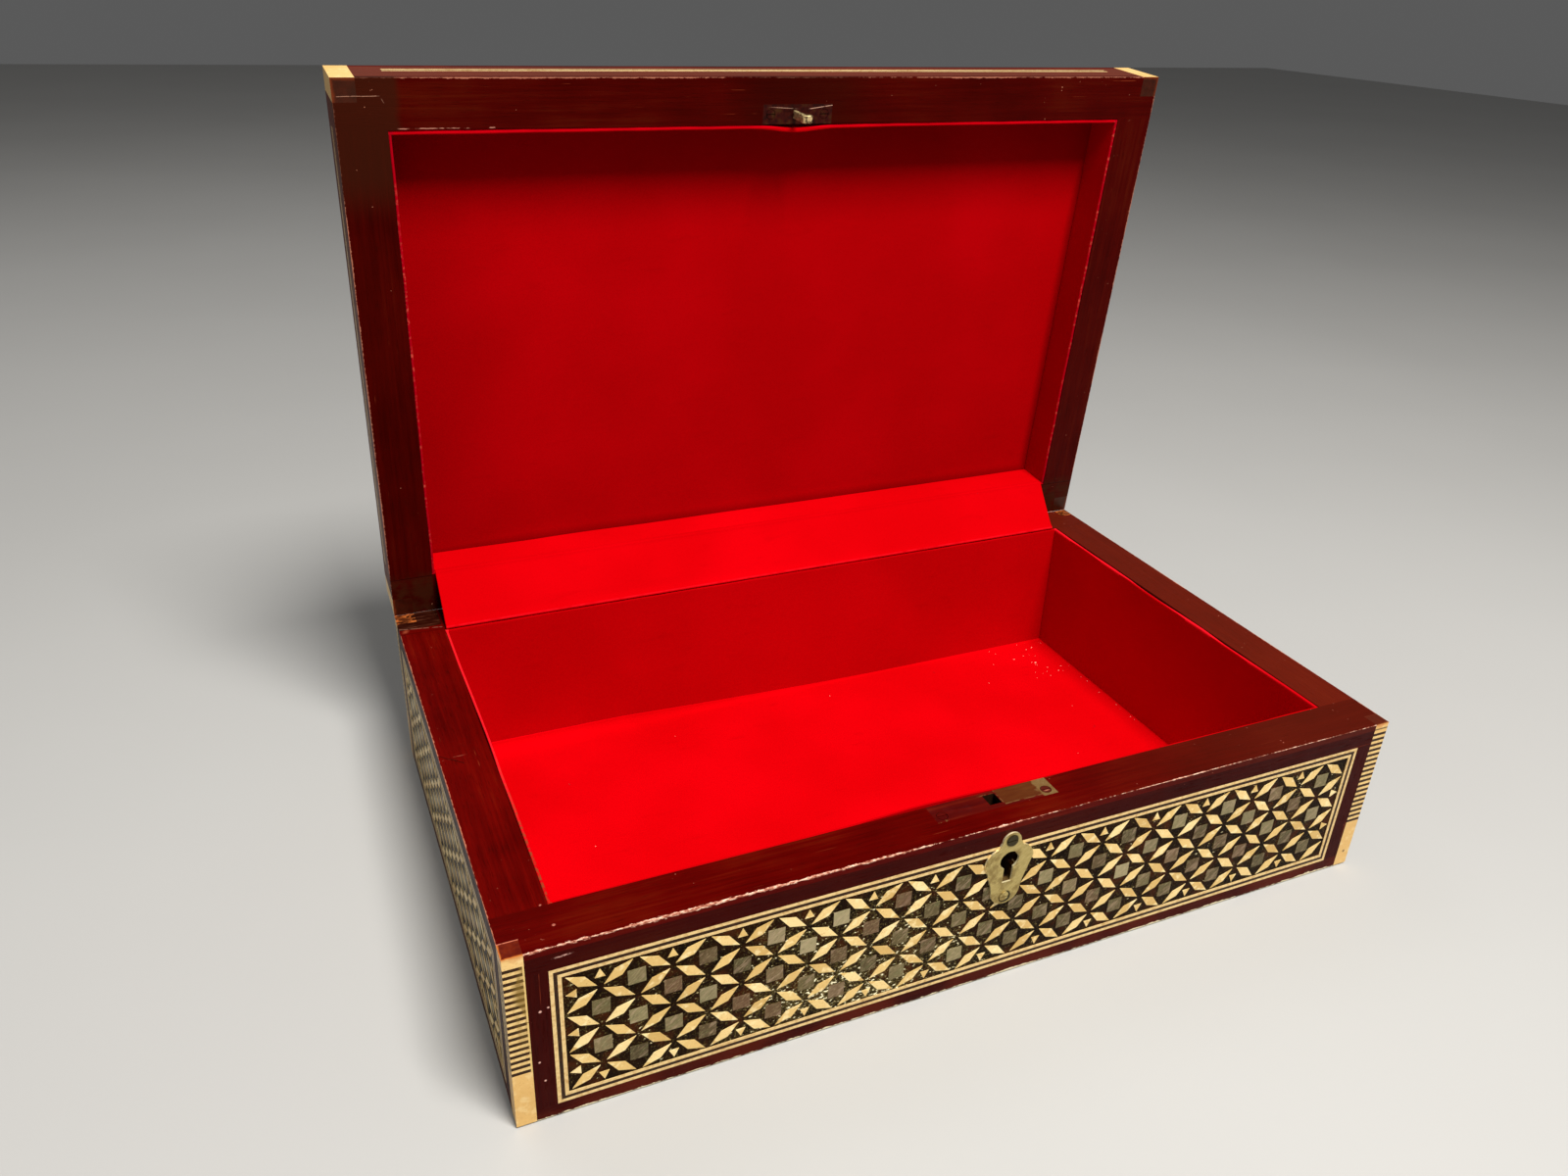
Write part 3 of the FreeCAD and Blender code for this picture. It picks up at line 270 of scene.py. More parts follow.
def rim_wear(wood):
    """The rim's worn outer edges, its joints, and the chipped strip at the rear left corner."""
    drop = RIM - wood.z
    wood.coat(wood.x.eased(10, 120) * 0.6, (84, 28, 13))
    # Painted shade: the front strip is painted darker.
    wood.coat(wood.y.under(-INNER_Y) * 0.32, (26, 0, 0))
    front = edge_line(wood, wood.y + BOX_Y + drop, "x", wood.x.eased(90, -70, 0.3, 0.85))
    others = edge_line(wood, (BOX_X - wood.x.size()).smaller(BOX_Y - wood.y) + drop, "y", 0.42)
    wood.coat(others * 0.75, (196, 122, 92))
    flush = wood.cloud(1.5, 3, wood.drawn(0.5, "x"), 0.7)
    wood.coat(front, wood.ramp(
        flush, (0.36, (120, 52, 34)), (0.47, (200, 132, 108)), (0.62, (250, 214, 186))))
    wood.coat(nicks(wood, 0.755) * 0.4, (206, 120, 96))
    for place, radius in (((-127.2, -72.6), 0.45), ((-125.8, -80.4), 0.55)):
        speck = wood.spot("xy", place, radius) * wood.z.over(50) * wood.cloud(2.2, 1).eased(0.3, 0.6)
        wood.coat(speck * 0.8, (196, 116, 96))
    behind_post = (-POST_X - wood.x).eased(0, 0.2) * (wood.y + POST_Y).near(0, 0.22)
    wood.coat(behind_post * wood.cloud(0.5, 2).eased(0.4, 0.5), (206, 120, 92))
    left = wood.x.under(-STRIP_X)
    strip = left * (wood.y + wood.cloud(0.5, 2) * 0.8).eased(76.2, 76.8) * wood.z.over(40)
    splinter = wood.cloud(0.9, 4, wood.drawn(0.16, "x"), 0.7)
    wood.coat(strip * 0.85, wood.ramp(
        splinter, (0.4, (16, 5, 2)), (0.54, (38, 18, 9)), (0.7, (92, 52, 34))))
    lifted = strip * wood.x.under(-133.5) * wood.y.over(81)
    wood.coat(lifted * splinter.eased(0.5, 0.6), (186, 98, 44))
    low_edge = left * (wood.y - 76 + (wood.x + 134) * 0.18).near(0, 0.3)
    wood.coat(low_edge * wood.cloud(0.8, 2).eased(0.4, 0.5) * 0.7, (150, 104, 84))
    chip = left * (wood.x + 138 + (wood.y - 75) * -0.3).near(0, 1.5) * wood.y.near(75, 1.9)
    wood.coat(chip * splinter.eased(0.36, 0.46) * 0.7, (150, 70, 44))
    joint = wood.x.size().over(LID_X) * wood.y.size().near(72.95, 0.22) * wood.y.eased(-80, 70, 0.3, 1)
    crack = left * (wood.y + 3.5 + (wood.x + 137) * 0.85 + wood.cloud(0.4, 2) * 1.2).near(0, 0.4)
    scrape = wood.x.near(-134.6, 4.4) * (wood.y + 1).near(0, 4.4) * splinter.eased(0.6, 0.66)
    wood.coat(scrape * 0.75, (186, 104, 80))
    seam = (joint * 0.5 + crack * wood.x.under(-133.5)).smaller(1)
    wood.coat(seam * 0.85, DARK_JOINT)
    wood.rough += strip * 0.3
    wood.height -= seam * 1.5 + strip * splinter


def paler_lid_edges(wood):
    """The lid's edges are painted a duller, paler brown."""
    wood.coat(0.65, (92, 50, 36))


def joint_scratch(wood):
    """A pale scratch along the joint at the lid's front left corner, which turns down at its end."""
    line = (wood.y + 82.3 + wood.cloud(0.15, 2) * 0.6).near(0, 0.14) * wood.x.under(-127.4)
    hook = (wood.x + 127 - (wood.y + 82) * 0.5).near(0, 0.14) * (wood.y + 81.4).near(0, 0.9)
    return line.larger(hook) * wood.cloud(0.6, 3).eased(0.36, 0.56) * 0.8


def lid_rim_wear(wood):
    """The lid rim's worn outer edges, its browned corner with the side strip's joint, and its hinge end."""
    rise = wood.z - LID_RIM
    outer = (BOX_X - wood.x.size()).smaller(BOX_Y - wood.y.size()) + rise
    wood.coat(edge_line(wood, outer, "x", 0.5) * 0.7, (190, 122, 96))
    corner = (wood.x + wood.cloud(0.25, 3) * 3).eased(-119.6, -122.6) * (wood.y - 4).eased(-50, -66)
    wood.coat(corner * 0.8, (48, 18, 8))
    hinge_end = wood.x.size().over(LID_X) * (wood.y + wood.cloud(0.3, 2) * 5).eased(72, 79)
    hinge_end = hinge_end * wood.cloud(0.25, 3).eased(0.25, 0.6)
    wood.coat(hinge_end * 0.8, (54, 22, 9))
    nail = wood.spot("xy", (-136, 84.4), 0.9)
    wood.coat(nail, (96, 74, 60))
    wood.coat(wood.spot("xy", (2, -79), 30) * 0.75, (38, 3, 1))
    wood.coat(joint_scratch(wood), SCRATCHED)
    fray = (wood.y + 73.75 + wood.cloud(0.7, 2) * 0.3).near(0, 0.2) * wood.x.under(-96)
    fray = fray * wood.cloud(0.25, 3).eased(0.46, 0.54)
    wood.coat(fray * wood.x.over(-125), (190, 130, 110))
    wood.coat(nicks(wood, 0.775) * 0.7, (200, 130, 100))
    seam = wood.x.size().over(LID_X) * (wood.y - LID_Y).near(0, 0.25)
    wood.coat(seam * 0.7, DARK_JOINT)
    wood.height -= seam * 1.5


def foot_wear_and_glint(wood):
    """The face's lower edge: a bright broken line, partly wear and partly painted glints, and pale nicks."""
    wood.coat(wood.z.under(4.8) * 0.55 * wood.cloud(0.05, 2).eased(0.3, 0.6), (92, 28, 10))
    # Partly painted highlight: the bright broken line at the foot stands for both wear and glints.
    line = edge_line(wood, wood.z - FOOT, "x", 0.8)
    wood.coat(line, CHIPPED_AND_GLINTING)
    nick = (wood.z - 53.5 + (wood.x + 125.6) * -0.06).near(0, 0.4) * (wood.x + 125.6).near(0, 3)
    nick = nick * wood.cloud(1.2, 2).eased(0.38, 0.46)
    for x, z, radius in ((-131.9, 37.6, 0.5), (-129.9, 38.3, 0.4), (-131.9, 14, 0.4), (-133, 20.8, 0.4)):
        nick = nick.larger(wood.spot("xz", (x, z), radius))
    wood.coat(nick * wood.y.under(0) * wood.cloud(2.2, 1).eased(0.25, 0.5), (226, 172, 156))
    wood.coat(nicks(wood, 0.765) * 0.6, (200, 120, 100))
    wood.rough += line * 0.2
    wood.height -= line * 0.6


def plain_wood():
    wood = Finish("plain_softwood")
    fibre = wood.cloud(0.4, 4, wood.stretched(0.1, 1, 1), 0.6, 0.8)
    wood.base = wood.ramp(fibre, (0.3, (96, 52, 24)), (0.6, (140, 92, 50)))
    # Painted shade: the softwood seen inside the keyhole is painted dark.
    keyhole_shade = wood.spot("xz", (0, 42), 11).eased(0.1, 0.4) * wood.y.under(-60)
    wood.coat(keyhole_shade, (34, 12, 5))
    wood.relief(fibre, 0.1)
    return wood.dress(0.7, Specular_IOR_Level=0.2)


def line_wood(name, pale, dark, on_lid=False):
    """A thin strip of wood in the stringing, with its own short marks."""
    line = Finish(name, on_lid)
    mark = line.cloud(0.9, 3)
    stain = line.cloud(0.12, 2)
    line.base = line.mixed(mark.eased(0.4, 0.72) * 0.6 + stain.eased(0.5, 0.8) * 0.35, pale, dark)
    line.relief(line.cloud(0.7, 2), 0.05)
    return line.dress(0.3 + mark * 0.2, **WAXED)


def post_layer(name, tone, stain):
    """The thin layers of a post: at the left, each dark one fades to olive brown towards the post's
    inner edge, where a pale line is left."""
    layer = Finish(name)
    mark = layer.cloud(1.3, 3)
    layer.base = layer.mixed(mark.eased(0.35, 0.75) * 0.55, tone, stain)
    inward = (BOX_X - layer.x.size()).larger(BOX_Y - layer.y.size())
    inward = inward * layer.x.under(0)
    fade = inward.eased(1.4, 3.6) * layer.cloud(0.35, 2, layer.stretched(1, 1, 0.4)).eased(0.3, 0.5)
    layer.coat(fade * layer.z.eased(22, 44) * 0.75, (120, 92, 34))
    pale = inward.eased(4.72, 4.8) * layer.cloud(0.6, 2).eased(0.3, 0.42)
    layer.coat(pale, (220, 186, 116))
    layer.relief(mark, 0.05)
    return layer.dress(0.3 + mark * 0.2, **WAXED)


# The inlay. Each field's cells are counted from its own corner, so that a piece has one tone.

FRONT_COLUMNS, SIDE_COLUMNS, FACE_ROWS, LID_ROWS = 27, 16, 6, 22


def cells(finish, field, columns, rows):
    """The place in a field, in cells across and up, and a number that tells its two faces apart."""
    low, high = [[edge / MM for edge in corner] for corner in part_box(field)]

    def counted(axis, count):
        return (getattr(finish, "xyz"[axis]) - low[axis]) / ((high[axis] - low[axis]) / count)

    if rows == LID_ROWS:
        low[1], high[1] = SIDE_FIELD
        return counted(0, columns), counted(1, rows), 0
    if columns == FRONT_COLUMNS:
        return counted(0, columns), counted(2, rows), (finish.y * 0.01).floored()
    return counted(1, columns), counted(2, rows), (finish.x * 0.01).floored()


def own_grain(finish, own):
    """A random number for each piece, and a place moved at random for each, so that no two match."""
    drift = finish.chance(own, "Color")
    return finish.chance(own), finish.add(
        "ShaderNodeVectorMath", {"operation": "MULTIPLY_ADD"}, drift, (9, 9, 9), finish.place)


SIDE_FIELD = [corner[1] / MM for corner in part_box("side_mastic")]
GLOSS = {"Specular_IOR_Level": 0.3, "Specular_Tint": srgb(255, 232, 190)}
INLAY_BONE = [(206, 168, 98), (228, 192, 120), (246, 219, 156)]
BLOCK_BONE = [(208, 162, 92), (226, 183, 112), (242, 207, 142)]


def bone(name, field=None, columns=1, rows=1, on_lid=False, lacquered=None):
    """Warm yellow bone under lacquer: each piece has its own tone, faint darker fibres and pores."""
    ivory = Finish(name, on_lid)
    if field:
        across, up, face = cells(ivory, field, columns, rows)
        node_across, node_up = (across + 0.5).floored(), (up + 0.5).floored()
        odd = ((node_across + node_up) * (math.pi / 2)).wave().size()
        triangle = odd * ((across - node_across).size() + (up - node_up).size()).under(0.5)
        own = ivory.mixed(triangle, ivory.together(across.floored(), up.floored(), face),
                          ivory.together(node_across + 0.5, node_up + 0.5, face))
        tone, place = own_grain(ivory, own)
    else:
        tone, place = ivory.cloud(0.05, 1), ivory.place
    fibre = ivory.cloud(1.1, 3, place, 0.6, 1.0)
    tones = INLAY_BONE if field else BLOCK_BONE
    ivory.base = ivory.ramp(tone, (0.0, tones[0]), (0.5, tones[1]), (1.0, tones[2]))
    ivory.coat(fibre.eased(0.5, 0.72) * 0.35, (200, 150, 80))
    pale = ivory.cloud(0.45, 3).eased(0.52, 0.68) * (0.5 if field else 0.22)
    ivory.coat(pale, (255, 238, 184))
    ivory.coat(ivory.cloud(2.6, 1).eased(0.68, 0.74) * 0.4, (150, 96, 40))
    # Painted shade: the bone's faces inside the keyhole are painted dark.
    keyhole_shade = ivory.spot("xz", (0, 41), 6).eased(0.1, 0.4) * ivory.y.under(-80)
    ivory.coat(keyhole_shade * 0.9, (44, 22, 8))
    if lacquered:
        lacquered(ivory)
    ivory.relief(ivory.cloud(0.5, 3) + fibre * 0.3, 0.08)
    return ivory.dress(0.26 + fibre * 0.2, **GLOSS)


def post_tops(ivory):
    """The posts' top faces lie under the rim's lacquer, which also runs down over their upper edges."""
    lacquer = ivory.ramp(ivory.cloud(0.5, 3), (0.35, (78, 8, 1)), (0.65, (104, 27, 4)))
    outer = (BOX_X - ivory.x.size()).smaller(BOX_Y + ivory.y) + ivory.cloud(0.6, 2) * 0.8
    lacquer = ivory.mixed(outer.eased(0.9, 0.4), lacquer, (186, 104, 42))
    lacquer = ivory.mixed(ivory.x.over(0) * 0.7, lacquer, (72, 24, 10))
    streak = ivory.cloud(0.9, 4, ivory.drawn(0.3, "x"), 0.7)
    rear = ivory.mixed(ivory.y.over(0), lacquer, ivory.ramp(
        streak, (0.4, (48, 18, 6)), (0.52, (110, 50, 18)), (0.64, (214, 116, 50))))
    nail = ivory.spot("xy", (-135.9, 85.3), 0.8)
    rear = ivory.mixed(nail, rear, (30, 10, 4))
    stripe = ivory.z.near(55.1, 0.5) * ivory.x.over(0) * ivory.y.under(0)
    ivory.coat(stripe * 0.9, (40, 20, 8))
    top = ivory.z.over(RIM - 0.03)
    run = (ivory.z + ivory.cloud(0.3, 3) * 3.4).eased(RIM + 0.2, RIM + 1.6)
    ivory.coat(run * 0.7, (196, 112, 42))
    foot = ivory.spot("xz", (137.6, 6.0), 0.7) * ivory.y.under(-87)
    ivory.coat(foot * 0.8, (50, 24, 10))
    ivory.coat(top, rear)


def block_rims(ivory):
    """The lid's corner blocks are lacquered dark, like the rim, where they lie in its plane."""
    lacquer = ivory.ramp(ivory.cloud(0.4, 3), (0.35, (42, 5, 1)), (0.65, (54, 9, 2)))
    outer = (BOX_X - ivory.x.size()).smaller(BOX_Y + ivory.y) + ivory.cloud(0.6, 2)
    lacquer = ivory.mixed(outer.eased(1.6, 0.5) * 0.8, lacquer, (104, 36, 8))
    lacquer = ivory.mixed(joint_scratch(ivory), lacquer, SCRATCHED)
    ivory.coat(ivory.z.under(LID_RIM + 0.03), lacquer)


def pearl(name, field, columns, rows, on_lid=False):
    """Olive and brownish shell: each square has its own colour, with fine slanting silky streaks."""
    shell = Finish(name, on_lid)
    across, up, face = cells(shell, field, columns, rows)
    own = shell.together((across + 0.5).floored(), (up + 0.5).floored(), face)
    tone, place = own_grain(shell, own)
    shell.base = shell.ramp(
        tone, (0.0, (66, 54, 28)), (0.2, (92, 79, 46)), (0.4, (138, 126, 88)),
        (0.55, (100, 72, 48)), (0.72, (76, 60, 31)), (0.86, (158, 146, 108)), (1.0, (92, 60, 38)))
    slant = shell.add(
        "ShaderNodeVectorRotate", {"rotation_type": "EULER_XYZ"}, place, Rotation=(0.5, 0.62, 0.5))
    drawn = shell.add("ShaderNodeVectorMath", {"operation": "MULTIPLY"}, slant, (0.35, 1, 2.2))
    band = shell.cloud(0.5, 2, drawn, 0.5, 0.6)
    streak = shell.cloud(2.4, 2, drawn, 0.5)
    shell.coat(band.eased(0.52, 0.68) * 0.3, (196, 166, 140))
    shell.coat(band.eased(0.46, 0.32) * 0.3, (96, 104, 66))
    shell.coat(streak.eased(0.52, 0.7) * 0.35, (186, 170, 128))
    shell.coat(streak.eased(0.46, 0.3) * 0.4, (48, 36, 16))
    shell.relief(shell.cloud(0.45, 3) + band * 0.5, 0.04)
    return shell.dress(0.24 + streak * 0.2, Metallic=band * 0.25, **GLOSS)


def mastic(name, on_lid=False):
    """Near-black filler with brown patches and greenish crumbs, and bright glints painted into its lumpy
    lacquer as painted highlight. Crumbs and glints are thickest in the middle of the front."""
    filler = Finish(name, on_lid)
    crumb = filler.cloud(1.5, 4, roughness=0.65)
    filler.base = filler.ramp(
        filler.cloud(0.2, 3), (0.34, (14, 3, 0)), (0.55, (30, 11, 1)), (0.74, (62, 25, 5)))
    # Where the crumbs and the painted highlight glints gather, in the middle of the front.
    middle = (filler.x + 46).near(0, 70) * filler.z.eased(62, 8) * filler.y.under(-80) * 0.115
    middle = middle + filler.cloud(0.09, 2) * 0.24
    filler.coat((crumb + middle).eased(0.68, 0.8) * 0.6, (96, 84, 44))
    # Painted highlight: glints of light, with a dimmer halo, painted into the base colour.
    painted_glint = filler.cloud(0.95, 4, filler.stretched(0.75, 1, 1.25), 0.62) + middle
    filler.coat(painted_glint.eased(0.76, 0.8) * 0.7, (150, 132, 78))
    filler.coat(painted_glint.eased(0.81, 0.84), (255, 248, 210))
    filler.relief(filler.cloud(0.75, 4, roughness=0.62) + crumb * 0.25 + painted_glint * 0.2, 0.22)
    return filler.dress(0.2 + crumb * 0.25, Specular_IOR_Level=0.035,
                        Specular_Tint=srgb(255, 226, 160))


# Metals.


def aged_brass(name, on_lid=False, coated=None):
    """Olive-tan brass, rubbed with fine slanting scratches and stained brown in places."""
    brass = Finish(name, on_lid)
    slant = brass.together(brass.x * 0.3 + brass.z * 0.12, brass.y, brass.z * 2.2 - brass.x * 1.6)
    rub = brass.cloud(1.6, 3, slant, 0.6)
    stain = brass.cloud(0.22, 4, roughness=0.6)
    brass.base = brass.ramp(rub, (0.3, (166, 146, 88)), (0.55, (192, 172, 110)), (0.8, (228, 212, 156)))
    brass.coat(stain.eased(0.48, 0.64) * 0.65, (124, 100, 54))
    brass.metal = 0.75 - stain.eased(0.55, 0.75) * 0.3
    if coated:
        coated(brass)
    brass.relief(rub * 0.5 + stain, 0.04)
    rough = 0.42 + rub * 0.15 + stain.eased(0.5, 0.7) * 0.15
    return brass.dress(rough, Metallic=brass.metal, Specular_IOR_Level=0.1)


def keyhole_plate(brass):
    """The keyhole plate's cut edge is painted pale as a highlight, and grime lies round its two screws."""
    # Painted highlight along the plate's cut edge.
    edge = brass.y.over(-BOX_Y - 0.52)
    brass.coat(edge, (255, 240, 190))
    grime = brass.spot("xz", (0, 51.3), 2.5).larger(brass.spot("xz", (0.4, 31.2), 2.5))
    brass.coat(grime * 0.7, (74, 58, 26))


def plate_screws(brass):
    """The upper screw is painted near black; the lower one is brass in its middle and dark round its edge."""
    grime = brass.z.over(44).larger(brass.spot("xz", (-0.5, 31.9), 2.0).eased(0.45, 0.2))
    brass.coat(grime * 0.95, (24, 19, 8))
    brass.metal *= 1 - grime


def old_lacquer(brass):
    """The rim's dark red-brown lacquer, on metal."""
    return brass.ramp(brass.cloud(0.5, 4, brass.drawn(0.1, "x")), (0.3, (58, 0, 0)), (0.52, (76, 5, 1)),
                      (0.75, (92, 22, 5)))


def lacquered_over(brass):
    """Lacquer lies over the lock plate: opaque at the left and along the front, thin at the right, and
    worn off round the right screw. Below its face it is painted near black, as shade."""
    ragged = brass.cloud(0.8, 3) * 1.6 - 0.8
    thin = (brass.x + ragged).eased(2.2, 2.8) * (brass.y + ragged * 0.3).eased(-79.5, -79.2)
    tawny = brass.mixed(brass.cloud(0.6, 3, brass.drawn(0.2, "x")), (64, 18, 4), (92, 50, 18))
    cover = brass.mixed(thin, old_lacquer(brass), tawny)
    line = (brass.y + 79.35 + ragged * 0.3).near(0, 0.3) * brass.x.over(2.5)
    line = line.larger((brass.y + 73.95).near(0, 0.3) * (brass.x + 1).near(0, 3.4)).larger(
        (brass.x - 2.3).near(0, 0.3) * brass.y.over(-79))
    bare = (brass.x + brass.cloud(0.45, 3) * 4 - (brass.y + 77).size() * 0.3).eased(15.6, 16.8)
    flecks = brass.x.under(-16) * brass.y.under(-78) * brass.cloud(0.9, 2).eased(0.58, 0.66) * 0.5
    brass.coat(0.8, (104, 68, 34))
    shown = bare.larger(line * brass.cloud(0.9, 2).eased(0.4, 0.56) * 0.7).larger(flecks)
    # Painted shade: below the plate's face, its sides and hole walls are painted near black, and lose their
    # metal.
    shaded_depth = brass.z.under(RIM - 0.06)
    brass.coat(1 - shown, cover)
    brass.coat(shaded_depth * 0.9, (24, 18, 8))
    brass.metal *= shown * (1 - shaded_depth) * 0.5


def lock_plate_screws(brass):
    """The left screw is hidden by the lacquer; the right one is dark red-brown with a bright slot."""
    slot = (brass.x - 17).near(0, 1.3) * (brass.y + 78.3).near(0, 0.35)
    shown = brass.mixed(slot, (74, 20, 11), (168, 106, 80))
    brass.base = brass.mixed(brass.x.over(0), old_lacquer(brass), shown)
    brass.metal = 0


def browned(brass):
    """The lid's catch plate, dark with old lacquer, and scratched bright at its right."""
    lacquer = brass.ramp(brass.cloud(0.5, 3), (0.36, (30, 2, 0)), (0.52, (48, 5, 1)),
                         (0.7, (54, 28, 6)))
    scratch = (brass.y + 78.1 + (brass.x - 4.2) * 0.13).near(0, 0.16) * brass.x.over(3.8)
    second = (brass.y + 78.6 - (brass.x + 8) * 0.06).near(0, 0.11) * (brass.x + 5).near(0, 6)
    bright = scratch.larger(second) * brass.cloud(0.9, 2).eased(0.3, 0.5)
    brass.base = brass.mixed(1 - bright, (206, 160, 136), lacquer)
    brass.metal = 0


def grimy_and_shaded(brass):
    """The lock's inside, painted black-brown: partly grease, partly painted shade where it lies behind the
    keyhole.
    """
    # Painted shade and grease: the lock's case and bolt are darkened.
    brass.coat(0.85, (22, 18, 8))
    brass.metal *= 0.3


def hook_highlight(brass):
    """The hook, painted pale as a highlight, with grime left in patches."""
    grime = brass.cloud(0.8, 3).eased(0.5, 0.6) * 0.85
    # Painted highlight: the whole hook is lightened to pale brass.
    brass.coat(0.5, (250, 224, 170))
    brass.coat(grime, (48, 22, 10))


def plain_steel():
    steel = Finish("dull_steel")
    mark = steel.cloud(0.8, 3)
    steel.base = steel.mixed(mark, (150, 140, 120), (226, 216, 190))
    steel.relief(mark, 0.03)
    return steel.dress(0.22 + mark * 0.2, Metallic=0.95)


# Cloths.


def napped_cloth(name, shade, bright, fringe=None, on_lid=False):
    """Short-napped cloth glued down: soft patches where the nap lies two ways, and pale cut edges."""
    cloth = Finish(name, on_lid)
    nap = cloth.cloud(3.4, 3, roughness=0.7)
    lie = cloth.cloud(0.022, 2, roughness=0.5)
    rubbed = cloth.cloud(0.3, 3, cloth.stretched(0.3, 1, 1))
    cloth.base = cloth.mixed(nap * 0.5 + lie.eased(0.3, 0.7) * 0.4, shade, bright)
    cloth.coat(rubbed.eased(0.6, 0.78) * 0.15, [value * 0.85 for value in shade])
    if fringe:
        fringe(cloth)
    cloth.relief(nap + rubbed * 0.4, 0.1)
    return cloth.dress(0.85 + nap * 0.15, Specular_IOR_Level=0.04,
                       Specular_Tint=srgb(255, 90, 90))


CUT_EDGE, RED_HIGHLIGHT = (214, 92, 72), (246, 24, 40)


def body_fringe_and_highlight(cloth):
    """The side linings' rolled tops get a painted highlight; the left one frays to a brownish line at the
    front.
    """
    side = cloth.x.size().over(INNER_X - THICK - 0.3)
    rolled_highlight = cloth.z.eased(LINING_TOP - 1.3, LINING_TOP - 0.5) * side
    # Painted highlight along the side linings' rolled tops.
    cloth.coat(rolled_highlight * cloth.y.eased(-66, -10, 0.15, 0.8), RED_HIGHLIGHT)
    frayed = cloth.z.eased(LINING_TOP - 0.6, LINING_TOP - 0.2) * side * cloth.x.under(0)
    frayed = frayed * cloth.y.eased(0, -50, 0.2, 0.9) * cloth.cloud(0.6, 3, roughness=0.7).eased(0.42, 0.6)
    cloth.coat(frayed, (128, 62, 34))


def lid_fringe_and_highlight(cloth):
    """The front lining's rolled foot gets a painted highlight, and the others have a thin pale fuzz in
    places.
    """
    front = cloth.y.under(THICK - LID_Y + 0.3)
    rolled_highlight = cloth.z.eased(LID_FOOT + 1.7, LID_FOOT + 0.9)
    # Painted highlight along the front lining's rolled foot.
    cloth.coat(rolled_highlight * front * 0.85, (182, 0, 14))
    foot = cloth.z.eased(LID_FOOT + 0.6, LID_FOOT + 0.15) * cloth.x.size().over(LID_X - THICK - 0.5)
    fuzz = cloth.cloud(0.06, 2).eased(0.34, 0.6) * cloth.cloud(0.7, 3, roughness=0.7).eased(0.5, 0.66)
    cloth.coat(foot * 0.5, (150, 0, 26))
    cloth.coat(foot * fuzz * 0.55, CUT_EDGE)


def ceiling_shade(cloth):
    """The lid's ceiling is darker towards its front, and in its corners."""
    side = (LID_Y - cloth.y.size()).smaller(LID_X - cloth.x.size())
    dark = (side.eased(5, 0.8) * 0.4).larger(cloth.y.eased(-34, -72) * 0.45)
    dark = dark.larger((LID_X + cloth.x).eased(44, 6) * 0.22)
    cloth.coat(dark, (64, 0, 1))


def web_foot_highlight(cloth):
    """A painted highlight: a slightly brighter line along the web's raised foot."""
    up = (cloth.y - WEB_FOOT.y) * 0.68 + (cloth.z - WEB_FOOT.z) * 0.73
    line = up.near(0.5, 0.5) * cloth.cloud(0.25, 2).eased(0.3, 0.6, 0.12, 0.42)
    # Painted highlight on the web's raised foot.
    cloth.coat(line, RED_HIGHLIGHT)


def plain_lint():
    lint = Finish("lint")
    lint.base = lint.mixed(lint.chance(lint.stretched(0.3, 0.3, 0.3)), (255, 150, 130), (255, 226, 200))
    return lint.dress(0.9, Specular_IOR_Level=0.1)


def upright_sides(axis, limit):
    """A mask of a face border's two upright strips."""
    return lambda wood: (
        getattr(wood, axis).size().over(limit) * wood.z.over(BORDER_FOOT) * wood.z.under(BORDER_TOP))


def side_strips(wood):
    """A mask of the lid's side strips, which stand between its front and rear ones."""
    return wood.x.size().over(STRIP_X) * wood.y.size().under(LID_Y)


def side_edges(wood):
    return wood.x.size().over(VENEER_X) * wood.y.size().under(VENEER_Y)


def top_sides(wood):
    return wood.x.size().over(BORDER_X) * wood.y.size().under(BORDER_Y + 0.1)


assign(lacquered_wood("rim_mahogany_long", "x", worn=rim_wear), "front_rim_strip", "rear_rim_strip")
assign(lacquered_wood("rim_mahogany_side", "y", worn=rim_wear), "side_rim_strips")
assign(lacquered_wood("front_mahogany", "x", False, upright_sides("x", BORDER_X), "z", foot_wear_and_glint, 0.56),
       "front_border", "rear_border")
assign(lacquered_wood("side_mahogany", "y", False, upright_sides("y", BORDER_Y), "z", foot_wear_and_glint, 0.5),
       "side_border")
# The lid rim is the body rim's wood, painted darker: partly painted shade.
assign(lacquered_wood("lid_rim_mahogany", "x", True, side_strips, "y", lid_rim_wear, 0.68),
       "lid_rim_strips")
assign(lacquered_wood("lid_edge_mahogany", "x", True, side_edges, "y", paler_lid_edges), "lid_edge_veneers")
assign(lacquered_wood("lid_top_mahogany", "x", True, top_sides, "y", shade=0.8), "lid_top_border")
assign(plain_wood(), "bottom_panel", "front_wall", "rear_wall", "left_wall", "right_wall", "lid_front_wall",
       "lid_rear_wall", "lid_side_walls", "lid_top_panel")
PALE_LINE = ((228, 196, 136), (182, 140, 80))
DARK_LINE = ((34, 16, 8), (62, 32, 16))
assign(line_wood("pale_line", *PALE_LINE), "body_stringing_light")
assign(line_wood("dark_line", *DARK_LINE), "body_stringing_dark")
assign(post_layer("post_pale_layer", (232, 197, 130), (192, 146, 82)), "post_light_lamellae")
assign(post_layer("post_dark_layer", (36, 18, 8), (70, 34, 14)), "post_dark_lamellae")
assign(line_wood("lid_pale_line", *PALE_LINE, True), "lid_stringing_light")
assign(line_wood("lid_dark_line", *DARK_LINE, True), "lid_stringing_dark")
assign(bone("post_bone", lacquered=post_tops), "post_bone_blocks")
assign(bone("lid_block_bone", on_lid=True, lacquered=block_rims), "lid_corner_blocks")
